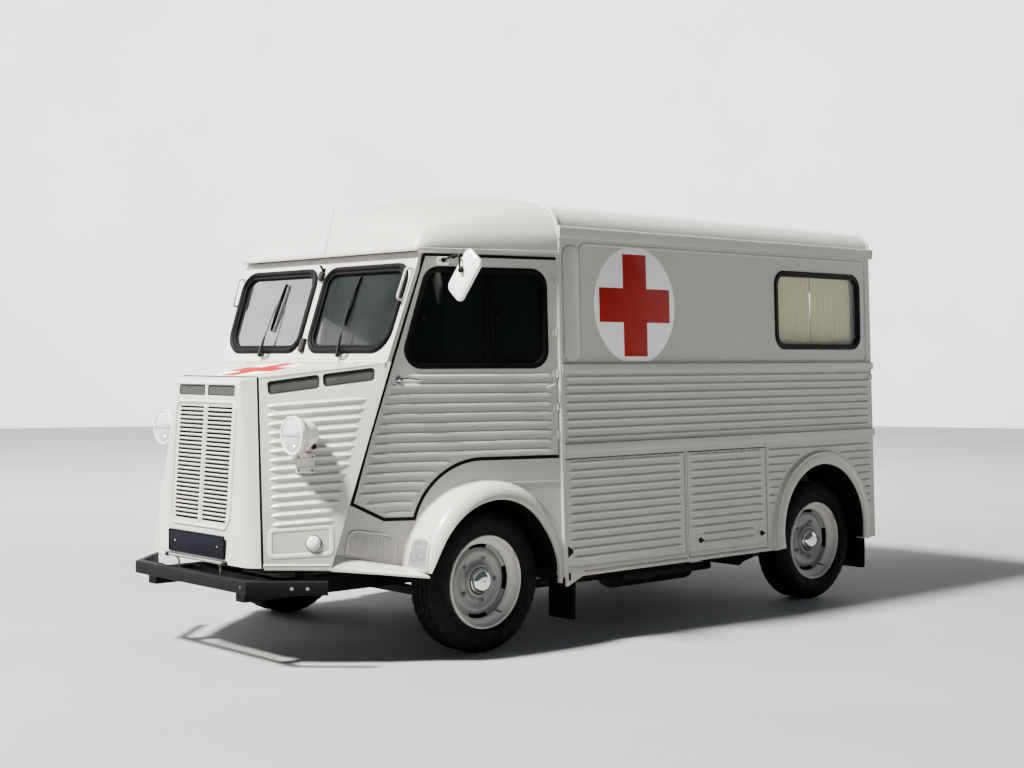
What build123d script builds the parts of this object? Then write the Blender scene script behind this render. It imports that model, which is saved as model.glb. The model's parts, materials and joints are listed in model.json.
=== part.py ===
from build123d import *
import os
from math import cos, radians, sin, tan

os.makedirs("parts", exist_ok=True)

# A forward-control ambulance van with a box body. Millimetres, front faces -Y,
# left side is +X, ground is z = 0, the origin is under the middle of the vehicle.

# ------------------------------------------------------------------ driving sizes
LEAN = 2.0                 # both flanks lean in by this many degrees
FLANK_X0 = 1005.7          # flank's outer face would be here at ground level
BOX_FRONT, BOX_REAR = -565.0, 2058.0
SILL_Z, WALL_TOP = 335.0, 2018.0
WALL_T = 36.0
REAR_T = 44.0
ROOF_T = 28.0
MID_RAIL_Z, BELT_RAIL_Z, RAIL_H, RAIL_PROUD = 968.0, 1367.0, 40.0, 18.0
GUTTER_H, GUTTER_PROUD = 48.0, 22.0

FRONT_AXLE_Y, REAR_AXLE_Y = -992.0, 1560.0
WHEEL_R, TYRE_W, RIM_R = 342.0, 194.0, 226.0
FRONT_WHEEL_X, REAR_WHEEL_X = 811.0, 832.0
KINGPIN_X = 735.0
REAR_ARCH_Y, REAR_ARCH_Z, REAR_ARCH_R = 1535.0, 420.0, 378.0
# front fender: the wheel opening is one circle, its outer edge another one, set a little higher
FRONT_ARCH_Z, FRONT_ARCH_R = 362.0, 385.0
FENDER_Y, FENDER_Z, FENDER_R, FENDER_X = -977.0, 402.0, 424.0, 990.0

DOOR_T, DOOR_GAP = 40.0, 6.0
LID_T, LID_GAP = 30.0, 5.0
HOOD_T = 18.0

FLOOR_Z0, FLOOR_Z1 = 380.0, 420.0
RAIL_X, RAIL_W = 400.0, 70.0

LEN_BUMPER_Y = -2092.0
REAR_TIP_Y = 2092.0

# ------------------------------------------------------------------ working planes
# left flank: sketch x runs to the rear, sketch y up the leaning wall
flank = Plane(origin=(FLANK_X0, 0, 0), x_dir=(0, 1, 0),
              z_dir=(cos(radians(LEAN)), 0, sin(radians(LEAN))))

# left cab door: toes in by 15.5 degrees and leans like the flank
DOOR_N = (0.963275, -0.266412, 0.033554)
door_plane = Plane(origin=(1007.2, BOX_FRONT, 0), x_dir=(0.26656, 0.96382, 0), z_dir=DOOR_N)

# flat panel between the nose and the door, through three of its corners
SEAM_TOP, SEAM_LOW = (332.0, -1915.0, 1327.0), (487.0, -1991.0, 457.0)
PILLAR_TOP, PILLAR_LOW = (728.0, -1437.0, 1400.0), (690.0, -1758.0, 447.0)
FACET_N = (0.7422, -0.6435, 0.1871)
facet_plane = Plane(origin=SEAM_LOW, x_dir=(0.6551, 0.7556, 0.0), z_dir=FACET_N)

# nose front face and the sloping top that the hood continues
nose_plane = Plane(origin=(0, -1985, 1293), x_dir=(1, 0, 0), z_dir=(0, -0.99757, 0.06967))
HOOD_SLOPE = 8.68
top_plane = Plane(origin=(0, -1915, 1327), x_dir=(1, 0, 0),
                  z_dir=(0, -sin(radians(HOOD_SLOPE)), cos(radians(HOOD_SLOPE))))

# windscreen panel
SCREEN_LEAN = 18.8
screen_plane = Plane(origin=(0, -1436, 1458), x_dir=(1, 0, 0),
                     z_dir=(0, -cos(radians(SCREEN_LEAN)), sin(radians(SCREEN_LEAN))))


def on(plane, points):
    """Points of the vehicle's frame, as x and y in a sketch on this plane."""
    found = []
    for point in points:
        here = plane.to_local_coords(Vector(*point))
        found.append((here.X, here.Y))
    return found


def cut_plane(a, b, along, shift=0.0):
    """The plane through a and b that contains the direction along, moved by shift along its normal."""
    run = Vector(*b) - Vector(*a)
    normal = run.cross(Vector(*along)).normalized()
    return Plane(origin=Vector(*a) + normal * shift, z_dir=normal)


def side_of(plane, point):
    """Which half to keep when a cut by this plane should leave the side where the point lies."""
    return Keep.TOP if plane.to_local_coords(Vector(*point)).Z > 0 else Keep.BOTTOM


def mirrored(plane):
    """The same plane on the right side of the vehicle."""
    o, n = plane.origin, plane.z_dir
    return Plane(origin=(-o.X, o.Y, o.Z), z_dir=(-n.X, n.Y, n.Z))


# front edge of the left door, and the seam between nose and side face
PILLAR_LINE = ((742.0, -1282.0, 1908.0), (666.0, -1742.0, 447.0))
door_front_cut = cut_plane(*PILLAR_LINE, DOOR_N)
facet_rear_cut = cut_plane(PILLAR_TOP, PILLAR_LOW, DOOR_N)
seam_cut = cut_plane(SEAM_TOP, SEAM_LOW, FACET_N)
FACET_MIDDLE = (560.0, -1800.0, 900.0)

# ------------------------------------------------------------------ tables
# columns: name, low y, high y, low z, high z of the left flank's lower hatches
HATCHES = (
    ("front", -545.0, 343.0, 352.0, 918.0),
    ("rear", 359.0, 1026.0, 352.0, 918.0),
)
WINDOW = dict(y=1545.0, z=1689.0, w=770.0, h=406.0, r=62.0)     # flank window hole
SLIDE_HOLE = dict(y0=-500.0, y1=230.0, z0=430.0, z1=1900.0)      # right flank doorway
SLIDE_DOOR = dict(y0=-524.0, y1=252.0, z0=392.0, z1=1928.0, t=26.0, off=7.0)
SLIDE_TRAVEL = 740.0

# columns: x, y, z of the left door's corners, clockwise from the top front one
DOOR_OUTLINE = (
    (742.0, -1282.0, 1908.0),
    (938.0, -574.0, 1907.0),
    (970.0, -584.0, 929.0),
    (865.0, -963.0, 929.0),
    (805.0, -1188.0, 864.0),     # on the arc over the wheel
    (772.0, -1332.0, 658.0),
    (730.0, -1482.0, 661.0),
    (685.0, -1638.0, 741.0),
)
# columns: x, y, z of the door glass's corners before rounding
DOOR_GLASS = (
    (762.0, -1236.0, 1836.0),
    (914.0, -640.0, 1836.0),
    (932.0, -640.0, 1384.0),
    (733.0, -1372.0, 1384.0),
)
# columns: x, height above the panel's base line (z 1458) of one windscreen pane
PANE = ((62.0, 16.0), (664.0, 16.0), (682.0, 402.0), (62.0, 402.0))

# columns: y, half width at the gutter, gutter z, shoulder x, shoulder z, crown z
CAB_ROOF = (
    (-1290.0, 733.0, 1926.0, 690.0, 1948.0, 1962.0),
    (-1215.0, 756.0, 1926.0, 665.0, 2050.0, 2100.0),
    (-1080.0, 797.0, 1927.0, 680.0, 2104.0, 2182.0),
    (-850.0, 866.0, 1930.0, 740.0, 2158.0, 2244.0),
    (-565.0, 950.0, 1935.0, 828.0, 2182.0, 2276.0),
)
# columns: y, crown z, shoulder z (shoulder x is fixed)
BOX_ROOF = ((BOX_FRONT, 2260.0, 2170.0), (BOX_REAR, 2254.0, 2162.0))
SHOULDER_X = 826.0

# ------------------------------------------------------------------ underbody
FRAME_Z, FRAME_H = 300.0, 80.0
with BuildPart() as frame_rails:
    for side in (-1, 1):
        with BuildSketch(Plane.XY.offset(FRAME_Z)):
            with Locations((side * RAIL_X, (-2058 + 1990) / 2)):
                Rectangle(RAIL_W, 1990 + 2058)
        extrude(amount=FRAME_H)

with BuildPart() as cross_members:
    with BuildSketch(Plane.XY.offset(FRAME_Z)):
        for y in (-1830, -640, 300, 820, 1960):          # between the rails
            with Locations((0, y)):
                Rectangle(2 * RAIL_X - RAIL_W, 60)
        for y in (-480, 360, 980):                        # outriggers to the sills
            for side in (-1, 1):
                with Locations((side * (940 + RAIL_X + RAIL_W / 2) / 2, y)):
                    Rectangle(940 - RAIL_X - RAIL_W / 2, 50)
    extrude(amount=FRAME_H)
    with BuildSketch(Plane.XY.offset(FRAME_Z + FRAME_H)): # posts that carry the cab floor
        for side in (-1, 1):
            for y in (-1700, -1420):
                with Locations((side * RAIL_X, y)):
                    Rectangle(RAIL_W, 60)
    extrude(amount=180)

with BuildPart() as load_floor:
    with BuildSketch(Plane.XY.offset(FLOOR_Z0)):
        with Locations((0, (2010 + BOX_FRONT) / 2)):
            Rectangle(2 * 950, 2010 - BOX_FRONT - 4)
        for side in (-1, 1):
            with Locations((side * 820, REAR_ARCH_Y)):
                Rectangle(276, 2 * REAR_ARCH_R + 4, mode=Mode.SUBTRACT)
    extrude(amount=FLOOR_Z1 - FLOOR_Z0)
    with BuildSketch(Plane.XY.offset(FLOOR_Z0)):          # four stretcher fixings
        with Locations((0, 950)):
            with GridLocations(500, 1500, 2, 2):
                Circle(5.5)
    extrude(amount=FLOOR_Z1 - FLOOR_Z0, mode=Mode.SUBTRACT)
    for side in (-1, 1):                                  # wheel boxes, open below and towards the flank
        with BuildSketch(Plane.XY.offset(FLOOR_Z0)):
            with Locations((side * 806, REAR_ARCH_Y)):
                Rectangle(264, 2 * REAR_ARCH_R + 40)
            with Locations((side * 820, REAR_ARCH_Y)):
                Rectangle(260, 2 * REAR_ARCH_R + 8, mode=Mode.SUBTRACT)
        extrude(amount=440)
        with BuildSketch(Plane.XY.offset(FLOOR_Z0 + 424)):
            with Locations((side * 806, REAR_ARCH_Y)):
                Rectangle(264, 2 * REAR_ARCH_R + 40)
        extrude(amount=16)

with BuildPart() as engine_block:
    with BuildSketch(Plane.XY.offset(385)):
        with Locations((0, -1400)):
            RectangleRounded(420, 780, 40)
    extrude(amount=360)
    with BuildSketch(Plane.XY.offset(300)):
        with Locations((0, -1400)):
            RectangleRounded(320, 600, 30)
    extrude(amount=86)

with BuildPart() as front_axle:
    with BuildSketch(Plane.XY.offset(224)):
        with Locations((0, FRONT_AXLE_Y)):
            Rectangle(2 * 470, 70)
    extrude(amount=36)
    for side in (-1, 1):
        with BuildSketch(Plane.XY.offset(224)):
            with Locations((side * 458, FRONT_AXLE_Y)):
                Rectangle(24, 70)
        extrude(amount=232)
        for low in (224, 420):                            # lower and upper arm, each with its eye
            with BuildSketch(Plane.XY.offset(low)):
                with Locations((side * 590, FRONT_AXLE_Y)):
                    Rectangle(290, 44)
                with Locations((side * KINGPIN_X, FRONT_AXLE_Y)):
                    Circle(34)
                    Circle(16.05, mode=Mode.SUBTRACT)
            extrude(amount=36)

knuckles = {}
for side, name in ((1, "left"), (-1, "right")):
    with BuildPart() as knuckle:
        with BuildSketch(Plane.XY.offset(224)):           # king pin through both eyes
            with Locations((side * KINGPIN_X, FRONT_AXLE_Y)):
                Circle(16)
        extrude(amount=232)
        with BuildSketch(Plane.XY.offset(266)):
            with Locations((side * KINGPIN_X, FRONT_AXLE_Y)):
                Circle(36)
        extrude(amount=148)
        with BuildSketch(Plane.YZ.offset(side * KINGPIN_X)):   # stub axle
            with Locations((FRONT_AXLE_Y, WHEEL_R)):
                Circle(24.95)
        extrude(amount=side * 105)
        with BuildSketch(Plane.XY.offset(280)):           # steering arm
            with Locations((side * (KINGPIN_X - 10), FRONT_AXLE_Y + 75)):
                Rectangle(26, 130)
        extrude(amount=24)
    knuckles[name] = knuckle

with BuildPart() as rear_axle:
    with BuildSketch(Plane.YZ.offset(-690)):              # torsion tube under the rails
        with Locations((REAR_AXLE_Y - 420, 252)):
            Circle(42)
    extrude(amount=1380)
    for side in (-1, 1):
        with BuildSketch(Plane.YZ.offset(side * 632)):    # trailing arm
            with BuildLine():
                Polyline((REAR_AXLE_Y - 440, 215), (REAR_AXLE_Y - 440, 288), (REAR_AXLE_Y - 30, 372),
                         (REAR_AXLE_Y + 40, 372), (REAR_AXLE_Y + 40, 312), (REAR_AXLE_Y - 20, 300), close=True)
            make_face()
        extrude(amount=side * 56)
        with BuildSketch(Plane.YZ.offset(side * 680)):
            with Locations((REAR_AXLE_Y, WHEEL_R)):
                Circle(24.95)
        extrude(amount=side * (REAR_WHEEL_X + 30 - 680))

with BuildPart() as exhaust:
    with BuildSketch(Plane.XZ.offset(-760)):              # silencer
        with Locations((560, 222)):
            Ellipse(105, 62)
    extrude(amount=560)
    with BuildSketch(Plane.XZ.offset(-250)):              # down pipe
        with Locations((540, 232)):
            Circle(24)
    extrude(amount=800)
    with BuildSketch(Plane.XZ.offset(-1000)):             # tail pipe
        with Locations((575, 215)):
            Circle(24)
    extrude(amount=260)

with BuildPart() as fuel_tank:
    with BuildSketch(Plane.XY.offset(190)):
        with Locations((-690, 80)):
            RectangleRounded(400, 620, 40)
    extrude(amount=104)

# ------------------------------------------------------------------ box body
def wall_blank():
    """What both flanks have: outline, window and wheel arch."""
    with BuildSketch(flank) as wall:
        with BuildLine():
            Polyline((BOX_FRONT, SILL_Z), (BOX_REAR - REAR_T, SILL_Z), (BOX_REAR - REAR_T, WALL_TOP),
                     (BOX_FRONT, WALL_TOP), close=True)
        make_face()
        with Locations((WINDOW["y"], WINDOW["z"])):
            RectangleRounded(WINDOW["w"], WINDOW["h"], WINDOW["r"], mode=Mode.SUBTRACT)
        with Locations((REAR_ARCH_Y, REAR_ARCH_Z)):
            Circle(REAR_ARCH_R, mode=Mode.SUBTRACT)
            Rectangle(2 * REAR_ARCH_R, 2 * (REAR_ARCH_Z - SILL_Z) + 10, mode=Mode.SUBTRACT)
    return wall.sketch


def arch_lip():
    """The raised lip round the rear wheel arch."""
    with BuildSketch(flank) as lip:
        with Locations((REAR_ARCH_Y, REAR_ARCH_Z)):
            Circle(REAR_ARCH_R + 68)
            Circle(REAR_ARCH_R, mode=Mode.SUBTRACT)
            with Locations((0, -REAR_ARCH_R - 68 - (REAR_ARCH_Z - SILL_Z))):
                Rectangle(1200, 2 * (REAR_ARCH_R + 68), mode=Mode.SUBTRACT)
    return lip.sketch


with BuildPart() as box_side_left:
    extrude(wall_blank(), amount=-WALL_T)
    with BuildSketch(flank):
        for _name, y0, y1, z0, z1 in HATCHES:
            with Locations(((y0 + y1) / 2, (z0 + z1) / 2)):
                Rectangle(y1 - y0, z1 - z0)
    extrude(amount=-WALL_T, mode=Mode.SUBTRACT)
    with BuildSketch(flank):
        for z in (MID_RAIL_Z, BELT_RAIL_Z):
            with Locations(((BOX_FRONT + BOX_REAR) / 2, z)):
                Rectangle(BOX_REAR - BOX_FRONT - 8, RAIL_H)
    extrude(amount=RAIL_PROUD)
    extrude(arch_lip(), amount=20)

with BuildPart() as right_wall_mould:
    extrude(wall_blank(), amount=-WALL_T)
    with BuildSketch(flank):
        with Locations(((SLIDE_HOLE["y0"] + SLIDE_HOLE["y1"]) / 2, (SLIDE_HOLE["z0"] + SLIDE_HOLE["z1"]) / 2)):
            RectangleRounded(SLIDE_HOLE["y1"] - SLIDE_HOLE["y0"], SLIDE_HOLE["z1"] - SLIDE_HOLE["z0"], 50)
    extrude(amount=-WALL_T, mode=Mode.SUBTRACT)
    with BuildSketch(flank):
        for z in (MID_RAIL_Z, BELT_RAIL_Z):               # rails start behind the open sliding door
            with Locations(((1002 + BOX_REAR) / 2, z)):
                Rectangle(BOX_REAR - 1002 - 8, RAIL_H)
        with Locations(((-545 + 1002) / 2, 1957)):        # guide above the sliding door
            Rectangle(1002 + 545, 46)
    extrude(amount=RAIL_PROUD)
    with BuildSketch(flank):
        with Locations(((-545 + 1002) / 2, 1973)):
            Rectangle(1002 + 545, 14)
    extrude(amount=40)
    extrude(arch_lip(), amount=20)

with BuildPart() as box_side_right:
    mirror(right_wall_mould.part, about=Plane.YZ)


def roof_section(plane, crown, shoulder_z, inset):
    """Half-round box roof section: side edge, shoulder arc, shallow crown arc and back."""
    edge_x = FLANK_X0 - WALL_TOP * tan(radians(LEAN)) - inset
    low = WALL_TOP
    sx, sz = SHOULDER_X - inset * 0.6, shoulder_z - inset * 0.85
    mx, mz = edge_x - 0.29 * (edge_x - sx) - 2, low + 36 + 0.70 * (sz - low - 36)
    with BuildSketch(plane) as sketch:
        with BuildLine():
            Line((-edge_x, low), (edge_x, low))
            Line((edge_x, low), (edge_x - 1.3, low + 36))
            ThreePointArc((edge_x - 1.3, low + 36), (mx, mz), (sx, sz))
            ThreePointArc((sx, sz), (0, crown - inset), (-sx, sz))
            ThreePointArc((-sx, sz), (-mx, mz), (-edge_x + 1.3, low + 36))
            Line((-edge_x + 1.3, low + 36), (-edge_x, low))
        make_face()
    return sketch.sketch


with BuildPart() as roof_hollow:
    loft([roof_section(Plane.XZ.offset(-y), crown, shoulder_z, ROOF_T) for y, crown, shoulder_z in BOX_ROOF], ruled=True)

with BuildPart() as box_roof:
    loft([roof_section(Plane.XZ.offset(-y), crown, shoulder_z, 0) for y, crown, shoulder_z in BOX_ROOF], ruled=True)
    with BuildSketch(Plane.XY.offset(WALL_TOP)):          # gutter along both sides
        for side in (-1, 1):
            with Locations((side * (934 + (GUTTER_PROUD - 4) / 2), (BOX_FRONT + BOX_REAR) / 2)):
                Rectangle(GUTTER_PROUD + 4, BOX_REAR - BOX_FRONT)
    extrude(amount=GUTTER_H)
    add(roof_hollow.part, mode=Mode.SUBTRACT)

with BuildPart() as rear_frame:
    with BuildSketch(Plane.XZ.offset(-BOX_REAR)):
        with BuildLine():
            Polyline((-994, SILL_Z), (994, SILL_Z), (935.2, WALL_TOP), (-935.2, WALL_TOP), close=True)
        make_face()
        with Locations((0, 1169)):                        # doorway for tailgate and lower doors
            RectangleRounded(2 * 722, 2 * 799, 60, mode=Mode.SUBTRACT)
        with Locations((0, 440)):
            Rectangle(2 * 722, 140, mode=Mode.SUBTRACT)
    extrude(amount=REAR_T)
    # closing panel up to the roof skin
    extrude(roof_section(Plane.XZ.offset(-BOX_REAR), BOX_ROOF[1][1] - 0.2, BOX_ROOF[1][2] - 0.2, ROOF_T + 0.3), amount=REAR_T)
    for side in (-1, 1):                                  # rubber buffers at the corners
        with BuildSketch(Plane.XZ.offset(-BOX_REAR)):
            with Locations((side * 860, 372)):
                RectangleRounded(150, 44, 12)
        extrude(amount=-(REAR_TIP_Y - BOX_REAR))

# ------------------------------------------------------------------ cab shell
def cab_roof_section(y, half, low, sx, sz, crown, inset):
    h, s, z1, c = half - inset, sx - 0.5 * inset, sz - 0.8 * inset, crown - inset
    with BuildSketch(Plane.XZ.offset(-y)) as section:
        with BuildLine():
            Line((-h, low), (h, low))
            ThreePointArc((h, low), (h - 0.24 * (h - s), low + 0.66 * (z1 - low)), (s, z1))
            ThreePointArc((s, z1), (0, c), (-s, z1))
            ThreePointArc((-s, z1), (-h + 0.24 * (h - s), low + 0.66 * (z1 - low)), (-h, low))
        make_face()
    return section.sketch


with BuildPart() as cab_roof_hollow:
    loft([cab_roof_section(y, half, low, sx, sz, crown, 30) for y, half, low, sx, sz, crown in CAB_ROOF[1:]], ruled=True)

with BuildPart() as cab_roof:
    loft([cab_roof_section(y, half, low, sx, sz, crown, 0) for y, half, low, sx, sz, crown in CAB_ROOF], ruled=True)
    add(cab_roof_hollow.part, mode=Mode.SUBTRACT)

with BuildPart() as left_facet:
    with BuildSketch(facet_plane):
        with Locations(on(facet_plane, (FACET_MIDDLE,))[0]):
            Rectangle(1000, 1300)
    extrude(amount=-30)
    split(bisect_by=facet_rear_cut, keep=side_of(facet_rear_cut, FACET_MIDDLE))
    split(bisect_by=seam_cut, keep=side_of(seam_cut, FACET_MIDDLE))
    split(bisect_by=top_plane.offset(-HOOD_T - 5), keep=Keep.BOTTOM)
    split(bisect_by=Plane.XY.offset(450), keep=Keep.TOP)

with BuildPart() as front_side_panels:
    add(left_facet.part)
    mirror(about=Plane.YZ)

with BuildPart() as windscreen_frame:
    with BuildSketch(screen_plane):
        with BuildLine():
            Polyline((-752, -62), (752, -62), (752, 492), (-752, 492), close=True)
        make_face()
        for side in (-1, 1):
            with BuildLine():
                Polyline(*[(side * x, y) for x, y in PANE], close=True)
            make_face(mode=Mode.SUBTRACT)
    extrude(amount=-30)
    with BuildSketch(top_plane):                          # cowl strip that carries the hood's hinge
        with BuildLine():
            a, b, c, d = on(top_plane, ((-740, -1470, 1395), (740, -1470, 1395), (740, -1440, 1400), (-740, -1440, 1400)))
            Polyline(a, b, c, d, close=True)
        make_face()
    extrude(amount=-HOOD_T)
    for cut in (door_front_cut, ):
        keep = side_of(cut, (0, -1500, 1400))
        split(bisect_by=cut, keep=keep)
        split(bisect_by=mirrored(cut), keep=side_of(mirrored(cut), (0, -1500, 1400)))
    split(bisect_by=door_plane.offset(8), keep=Keep.BOTTOM)
    split(bisect_by=mirrored(door_plane.offset(8)), keep=Keep.BOTTOM)

with BuildPart() as left_cab_side:
    outline = on(door_plane, DOOR_OUTLINE)
    with BuildSketch(door_plane):
        low_front, low_rear, high_rear, high_front = on(door_plane, (
            (666, -1742, 447), (975, -567, 447), (960, -567, 940), (699, -1541, 1087)))
        with BuildLine():
            Polyline(low_front, low_rear, high_rear, high_front, close=True)
        make_face()
        with BuildSketch(mode=Mode.PRIVATE) as door_shape:
            with BuildLine():
                Polyline(outline[0], outline[1], outline[2], outline[3])
                ThreePointArc(outline[3], outline[4], outline[5])
                Polyline(outline[5], outline[6], outline[7], outline[0])
            make_face()
            offset(amount=DOOR_GAP, kind=Kind.INTERSECTION)
        add(door_shape.sketch, mode=Mode.SUBTRACT)
    extrude(amount=-50)
    with BuildSketch(door_plane.offset(-46)):             # post that the door closes on
        foot, head = on(door_plane, ((666, -1742, 447), (742, -1282, 1900)))
        with BuildLine():
            Polyline((foot[0] + 4, foot[1]), (foot[0] + 44, foot[1]), (head[0] + 44, head[1]), (head[0] + 4, head[1]), close=True)
        make_face()
    extrude(amount=-34)
    with BuildSketch(Plane.YZ.offset(500)):               # room for the wheel
        with Locations((-985, 382)):
            Circle(400)
        with Locations((-985, 182)):
            Rectangle(800, 400)
    extrude(amount=600, mode=Mode.SUBTRACT)
    split(bisect_by=Plane.XZ.offset(-BOX_FRONT + 2), keep=Keep.TOP)
    add(windscreen_frame.part, mode=Mode.SUBTRACT)
    add(left_facet.part, mode=Mode.SUBTRACT)

with BuildPart() as cab_sides:
    add(left_cab_side.part)
    mirror(about=Plane.YZ)

with BuildPart() as cab_floor:
    # side view of floor and bulkhead: sloping bulkhead, foot well, then raised over the front wheels
    with BuildSketch(Plane.YZ.offset(-900)):
        with BuildLine():
            Polyline((-1742, 560), (-1386, 560), (-1386, 770), (-569, 770), (-569, 806),
                     (-1416, 806), (-1416, 596), (-1722, 596), (-1462, 1372), (-1486, 1372), close=True)
        make_face()
    extrude(amount=2 * 900)
    # cover over the engine
    with BuildSketch(Plane.YZ.offset(-270)):
        with BuildLine():
            Polyline((-1722, 596), (-1620, 900), (-1000, 900), (-1000, 806), (-1416, 806), (-1416, 596), close=True)
        make_face()
    extrude(amount=540)
    with BuildSketch(Plane.YZ.offset(-246)):
        with BuildLine():
            Polyline((-1760, 560), (-1640, 876), (-1024, 876), (-1024, 770), (-1386, 770), (-1386, 560), close=True)
        make_face()
    extrude(amount=492, mode=Mode.SUBTRACT)
    for cut in (door_plane.offset(-54), facet_plane.offset(-34)):
        split(bisect_by=cut, keep=Keep.BOTTOM)
        split(bisect_by=mirrored(cut), keep=Keep.BOTTOM)
    add(cab_sides.part, mode=Mode.SUBTRACT)

with BuildPart() as left_fender:
    # cross-section at the top of the bulged arch: x, height
    crest = FENDER_Z + FENDER_R
    with BuildSketch(Plane.XZ.offset(-FENDER_Y)):
        with BuildLine():
            Polyline((640, crest - 24), (640, crest), (916, crest))
            ThreePointArc((916, crest), (968, crest - 22), (FENDER_X, crest - 74))
            Polyline((FENDER_X, crest - 74), (FENDER_X, crest - 160), (FENDER_X - 28, crest - 160), (FENDER_X - 28, crest - 74))
            ThreePointArc((FENDER_X - 28, crest - 74), (948, crest - 40), (916, crest - 24))
            Line((916, crest - 24), (640, crest - 24))
        make_face()
    revolve(axis=Axis((0, FENDER_Y, FENDER_Z), (1, 0, 0)), revolution_arc=360)
    with BuildSketch(Plane.YZ.offset(920)):               # wheel opening
        with Locations((FRONT_AXLE_Y, FRONT_ARCH_Z)):
            Circle(FRONT_ARCH_R)
        with Locations((FRONT_AXLE_Y, FRONT_ARCH_Z - 200)):
            Rectangle(2 * FRONT_ARCH_R, 400)
    extrude(amount=100, mode=Mode.SUBTRACT)
    split(bisect_by=Plane.XY.offset(345), keep=Keep.TOP)
    with BuildSketch(Plane.YZ.offset(600)):               # its front end stops higher than its rear end
        with Locations((-1400, 225)):
            Rectangle(400, 400)
    extrude(amount=500, mode=Mode.SUBTRACT)
    split(bisect_by=Plane.XZ.offset(-BOX_FRONT + 3), keep=Keep.TOP)
    split(bisect_by=door_plane.offset(0.5), keep=Keep.TOP)

with BuildPart() as front_fenders:
    add(left_fender.part)
    mirror(about=Plane.YZ)

right_facet_plane = Plane(origin=(-SEAM_LOW[0], SEAM_LOW[1], SEAM_LOW[2]), z_dir=(-FACET_N[0], FACET_N[1], FACET_N[2]))
nose_blocks = {}
for inset in (30, 0):      # solid nose between front face, both side faces and sloping top, moved in by inset
    with BuildPart() as nose_block:
        with BuildSketch(Plane.XY.offset(457)):
            with Locations((0, -1870)):
                Rectangle(1400, 500)
        extrude(amount=1100)
        split(bisect_by=nose_plane.offset(-inset), keep=Keep.BOTTOM)
        split(bisect_by=top_plane.offset(-inset), keep=Keep.BOTTOM)
        split(bisect_by=facet_plane.offset(-inset), keep=Keep.BOTTOM)
        split(bisect_by=right_facet_plane.offset(-inset), keep=Keep.BOTTOM)
    nose_blocks[inset] = nose_block

with BuildPart() as nose_panel:
    add(nose_blocks[0].part)
    add(nose_blocks[30].part, mode=Mode.SUBTRACT)
    split(bisect_by=Plane.XZ.offset(1915), keep=Keep.TOP)
    for cut in (seam_cut, mirrored(seam_cut)):
        split(bisect_by=cut, keep=side_of(cut, (0, -1950, 900)))
    with BuildSketch(nose_plane):                         # grille hole and the two air slots over it
        with Locations((0, 911 - 1293)):
            Rectangle(2 * 254, 566)
        for side in (-1, 1):
            with Locations((side * 131, 1265 - 1293)):
                Rectangle(232, 46)
    extrude(amount=-60, mode=Mode.SUBTRACT)

with BuildPart() as grille:
    with BuildSketch(nose_plane.offset(-6)):
        with Locations((0, 911 - 1293)):
            Rectangle(2 * 252, 562)
    extrude(amount=-14)

with BuildPart() as windscreen_glass:
    for side in (-1, 1):
        with BuildSketch(screen_plane.offset(-10)):
            with BuildLine():
                Polyline(*[(side * x, y) for x, y in PANE], close=True)
            make_face()
        extrude(amount=-6)

with BuildPart() as hood:
    with BuildSketch(top_plane):
        with BuildLine():
            front = on(top_plane, ((336, -1907, 1328),))[0]
            rear = on(top_plane, ((692, -1478, 1394),))[0]
            Polyline((-front[0], front[1]), (front[0], front[1]), (rear[0], rear[1]), (-rear[0], rear[1]), close=True)
        make_face()
    extrude(amount=-HOOD_T)

with BuildPart() as front_bumper:
    with BuildSketch(Plane.XY.offset(345)):
        with BuildLine():
            Polyline((-748, -1823), (-503, LEN_BUMPER_Y), (503, LEN_BUMPER_Y), (748, -1823),
                     (722, -1800), (490, -2059), (-490, -2059), (-722, -1800), close=True)
        make_face()
    extrude(amount=64)

with BuildPart() as number_plate:
    with BuildSketch(Plane.XZ.offset(2046)):
        with Locations((0, 533)):
            Rectangle(504, 110)
    extrude(amount=8)

with BuildPart() as headlights:
    for side in (-1, 1):
        with BuildSketch(Plane.YZ.offset(side * 578)):
            with BuildLine():
                Polyline((-1892, 1064), (-1892, 1064 + 84), (-1868, 1064 + 88))
                ThreePointArc((-1868, 1064 + 88), (-1788, 1064 + 64), (-1752, 1064 + 20))
                Polyline((-1752, 1064 + 20), (-1752, 1064), (-1892, 1064))
            make_face()
        revolve(axis=Axis((side * 578, -1892, 1064), (0, 1, 0)))
        # stalk from the side panel to the bowl
        foot = Plane(origin=(side * 578, -1826, 1002), z_dir=(side * FACET_N[0], FACET_N[1], FACET_N[2]))
        with BuildSketch(foot):
            Circle(15)
        extrude(amount=-63)
        with BuildSketch(foot.offset(-57)):
            Circle(34)
        extrude(amount=-6)

# ------------------------------------------------------------------ cab fittings
with BuildPart() as dashboard:
    with BuildSketch(Plane.YZ.offset(-590)):
        with BuildLine():
            Polyline((-1452, 1290), (-1408, 1270), (-1396, 1340), (-1412, 1380), (-1440, 1380), close=True)
        make_face()
    extrude(amount=1180)

WHEEL_C, COLUMN_TILT = (400.0, -1196.0, 1180.0), 30.0
column_plane = Plane(origin=WHEEL_C, x_dir=(1, 0, 0),
                     z_dir=(0, sin(radians(COLUMN_TILT)), cos(radians(COLUMN_TILT))))
with BuildPart() as steering_column:
    with BuildSketch(column_plane.offset(-20)):
        Circle(24)
    extrude(amount=-640)
    split(bisect_by=Plane.XY.offset(806.5), keep=Keep.TOP)

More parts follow.
